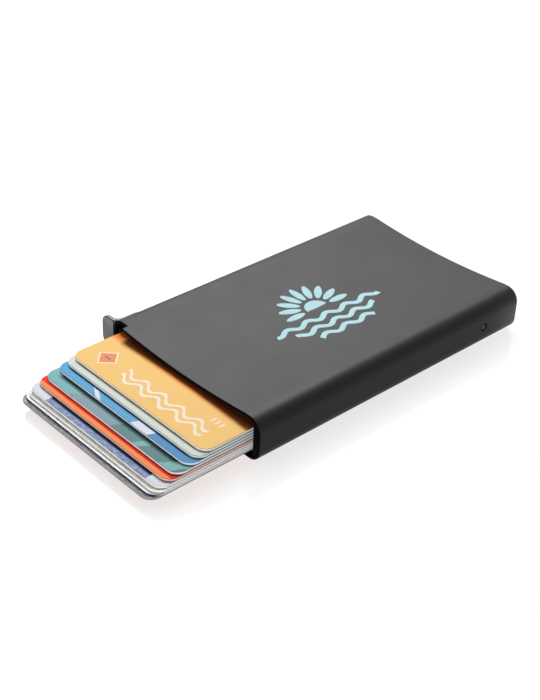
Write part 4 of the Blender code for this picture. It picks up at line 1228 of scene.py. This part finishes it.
class HOLDER_OT_stage(Operator):
    """Sets up the camera, the lamps, the world and the white floor"""

    bl_idname = "holder.stage"
    bl_label = "Stage"

    def execute(self, context):
        stage = context.scene.holder_stage
        context.scene.view_settings.view_transform = "Standard"
        self.camera(context, stage)
        self.lamps(context, stage)
        self.world(context, stage)
        self.floor(stage)
        return {"FINISHED"}

    def camera(self, context, stage):
        """The camera looks at its aim point along a heading, tilted down and rolled a little. Its
        sensor is 36 mm wide."""
        heading = Matrix.Rotation(stage.heading, 3, "Z")
        tilt = Matrix.Rotation(math.pi / 2 - stage.down, 3, "X")
        roll = Matrix.Rotation(stage.roll, 3, "Z")
        facing = heading @ tilt @ roll
        data = bpy.data.cameras.new("camera")
        data.lens = stage.lens
        data.sensor_width = 36.0
        data.clip_start = 0.01
        data.clip_end = 20.0
        camera = bpy.data.objects.new("camera", data)
        camera.rotation_euler = facing.to_euler()
        aim = Vector((stage.aim_x, stage.aim_y, stage.aim_z))
        camera.location = aim + facing @ Vector((0, 0, stage.distance))
        context.scene.collection.objects.link(camera)
        context.scene.camera = camera

    def lamps(self, context, stage):
        """A key lamp behind and a fill in front for the colours, and a wide lamp for the gloss."""
        key_size = (stage.key_width, stage.key_width)
        fill_size = (stage.fill_width, stage.fill_height)
        sheen_size = (stage.sheen_width, stage.sheen_width)
        key_place = (-0.42, 0.36, 0.68)
        fill_place = (0.45, -0.75, 0.05)
        sheen_place = (-0.42, 0.2, 0.68)
        self.lamp(context, "key", key_place, stage.key, key_size, False)
        self.lamp(context, "fill", fill_place, stage.fill, fill_size, False)
        self.lamp(context, "sheen", sheen_place, stage.sheen, sheen_size, True)

    def lamp(self, context, name, place, watts, sides, gloss_only):
        """A lamp that faces the holder. It either lights the colours or shows in the gloss."""
        data = bpy.data.lights.new(name, "AREA")
        data.energy = watts
        data.shape = "RECTANGLE"
        data.size, data.size_y = sides
        lamp = bpy.data.objects.new(name, data)
        lamp.location = place
        lamp.rotation_euler = (-lamp.location).to_track_quat("-Z", "Y").to_euler()
        lamp.visible_diffuse = not gloss_only
        lamp.visible_glossy = gloss_only
        context.scene.collection.objects.link(lamp)

    def world(self, context, stage):
        """An even pale light, and plain white where the camera or a reflection looks past the floor."""
        world = bpy.data.worlds.new("studio")
        world.use_nodes = True
        context.scene.world = world
        nodes = world.node_tree.nodes
        links = world.node_tree.links
        light = nodes.new("ShaderNodeLightPath")
        seen = light.outputs["Is Camera Ray"]
        for ray in ("Is Glossy Ray", "Is Transmission Ray"):
            larger = nodes.new("ShaderNodeMath")
            larger.operation = "MAXIMUM"
            links.new(seen, larger.inputs[0])
            links.new(light.outputs[ray], larger.inputs[1])
            seen = larger.outputs[0]
        strength = nodes.new("ShaderNodeMapRange")
        strength.inputs["To Min"].default_value = stage.world
        strength.inputs["To Max"].default_value = 1.0
        links.new(seen, strength.inputs["Value"])
        links.new(strength.outputs[0], nodes["Background"].inputs["Strength"])
        nodes["Background"].inputs["Color"].default_value = (1, 1, 1, 1)

    def floor(self, stage):
        """A wide floor that shows white to the camera and still takes the holder's shadow. Near the
        holder its glow carries a painted shade from an occlusion node: warm by the cards as a painted
        reflection of their colour, grey by the case and fainter at the far end."""
        half = stage.floor_half
        drop = 0.03 * MM
        finish = Finish("white_floor", stage.floor, 0.08, Specular_IOR_Level=0.5)
        light = finish.add("ShaderNodeLightPath").outputs
        occlusion = finish.add("ShaderNodeAmbientOcclusion", {"Distance": stage.shade_reach}, samples=8)
        right, back, _ = finish.axes(finish.moved(place=(CASE_HIGH.x, MOUTH, 0)))
        length = FAR_END - MOUTH
        fading = finish.span(back, length - 20 * MM, length, 1.0, 0.7)
        near = finish.both(finish.span(occlusion.outputs["AO"], 0.5, 1.0, 1.0, 0.0), fading)
        sideways = finish.sum("MULTIPLY", right, math.cos(stage.shade_turn))
        sideways = finish.sum("MULTIPLY_ADD", back, math.sin(stage.shade_turn), sideways)
        by_case = finish.span(sideways, -4 * MM, 1 * MM)
        tint = finish.mix(by_case, stage.warm, stage.cool)
        mirrored = finish.sum("MULTIPLY", light["Is Glossy Ray"], 0.93)
        seen = finish.sum("MAXIMUM", light["Is Camera Ray"], mirrored)
        lit = [value * (1 - stage.glow) * 0.85 for value in stage.floor]
        finish.paint(finish.mix(seen, stage.floor, lit))
        light_given = {
            "Color": finish.mix(near, (1.0, 1.0, 1.0), tint),
            "Strength": finish.sum("MULTIPLY", seen, stage.glow),
        }
        glow = finish.add("ShaderNodeEmission", light_given).outputs[0]
        joined = finish.add("ShaderNodeAddShader")
        finish.tree.links.new(finish.shader.outputs[0], joined.inputs[0])
        finish.tree.links.new(glow, joined.inputs[1])
        surface = finish.tree.nodes["Material Output"].inputs["Surface"]
        finish.tree.links.new(joined.outputs[0], surface)
        outline = rounded_box((-half, -half), (half, half), half / 4)
        floor = new_piece("floor", [slab(outline, -drop, -2 * drop)], finish.material)


class HOLDER_PT_panel(Panel):
    """Lists the holder's operators and sizes in the sidebar"""

    bl_label = "Card Holder"
    bl_idname = "HOLDER_PT_panel"
    bl_space_type = "VIEW_3D"
    bl_region_type = "UI"
    bl_category = "Card Holder"

    def draw(self, context):
        for operator in OPERATORS:
            self.layout.operator(operator.bl_idname)
        for name, group in GROUPS:
            box = self.layout.box()
            box.label(text=group.__doc__)
            settings = getattr(context.scene, name)
            for key in group.__annotations__:
                box.prop(settings, key)


GROUPS = (
    ("holder_case", HolderCase),
    ("holder_tab", HolderTab),
    ("holder_cards", HolderCards),
    ("holder_fittings", HolderFittings),
    ("holder_emblem", HolderEmblem),
    ("holder_stage", HolderStage),
)
OPERATORS = (
    HOLDER_OT_case,
    HOLDER_OT_cards,
    HOLDER_OT_tab,
    HOLDER_OT_pin,
    HOLDER_OT_plug,
    HOLDER_OT_inner,
    HOLDER_OT_emblem,
    HOLDER_OT_stage,
)


def register():
    """Registers the groups of sizes, the operators and the panel."""
    for name, group in GROUPS:
        bpy.utils.register_class(group)
        setattr(bpy.types.Scene, name, PointerProperty(type=group))
    for operator in OPERATORS:
        bpy.utils.register_class(operator)
    bpy.utils.register_class(HOLDER_PT_panel)


def unregister():
    """Takes away what register added, in the reverse order."""
    bpy.utils.unregister_class(HOLDER_PT_panel)
    for operator in reversed(OPERATORS):
        bpy.utils.unregister_class(operator)
    for name, group in reversed(GROUPS):
        delattr(bpy.types.Scene, name)
        bpy.utils.unregister_class(group)


def main():
    """Builds every piece and the stage."""
    register()
    bpy.ops.holder.case()
    bpy.ops.holder.cards()
    bpy.ops.holder.tab()
    bpy.ops.holder.pin()
    bpy.ops.holder.plug()
    bpy.ops.holder.inner()
    bpy.ops.holder.emblem()
    bpy.ops.holder.stage()


if __name__ == "__main__":
    main()
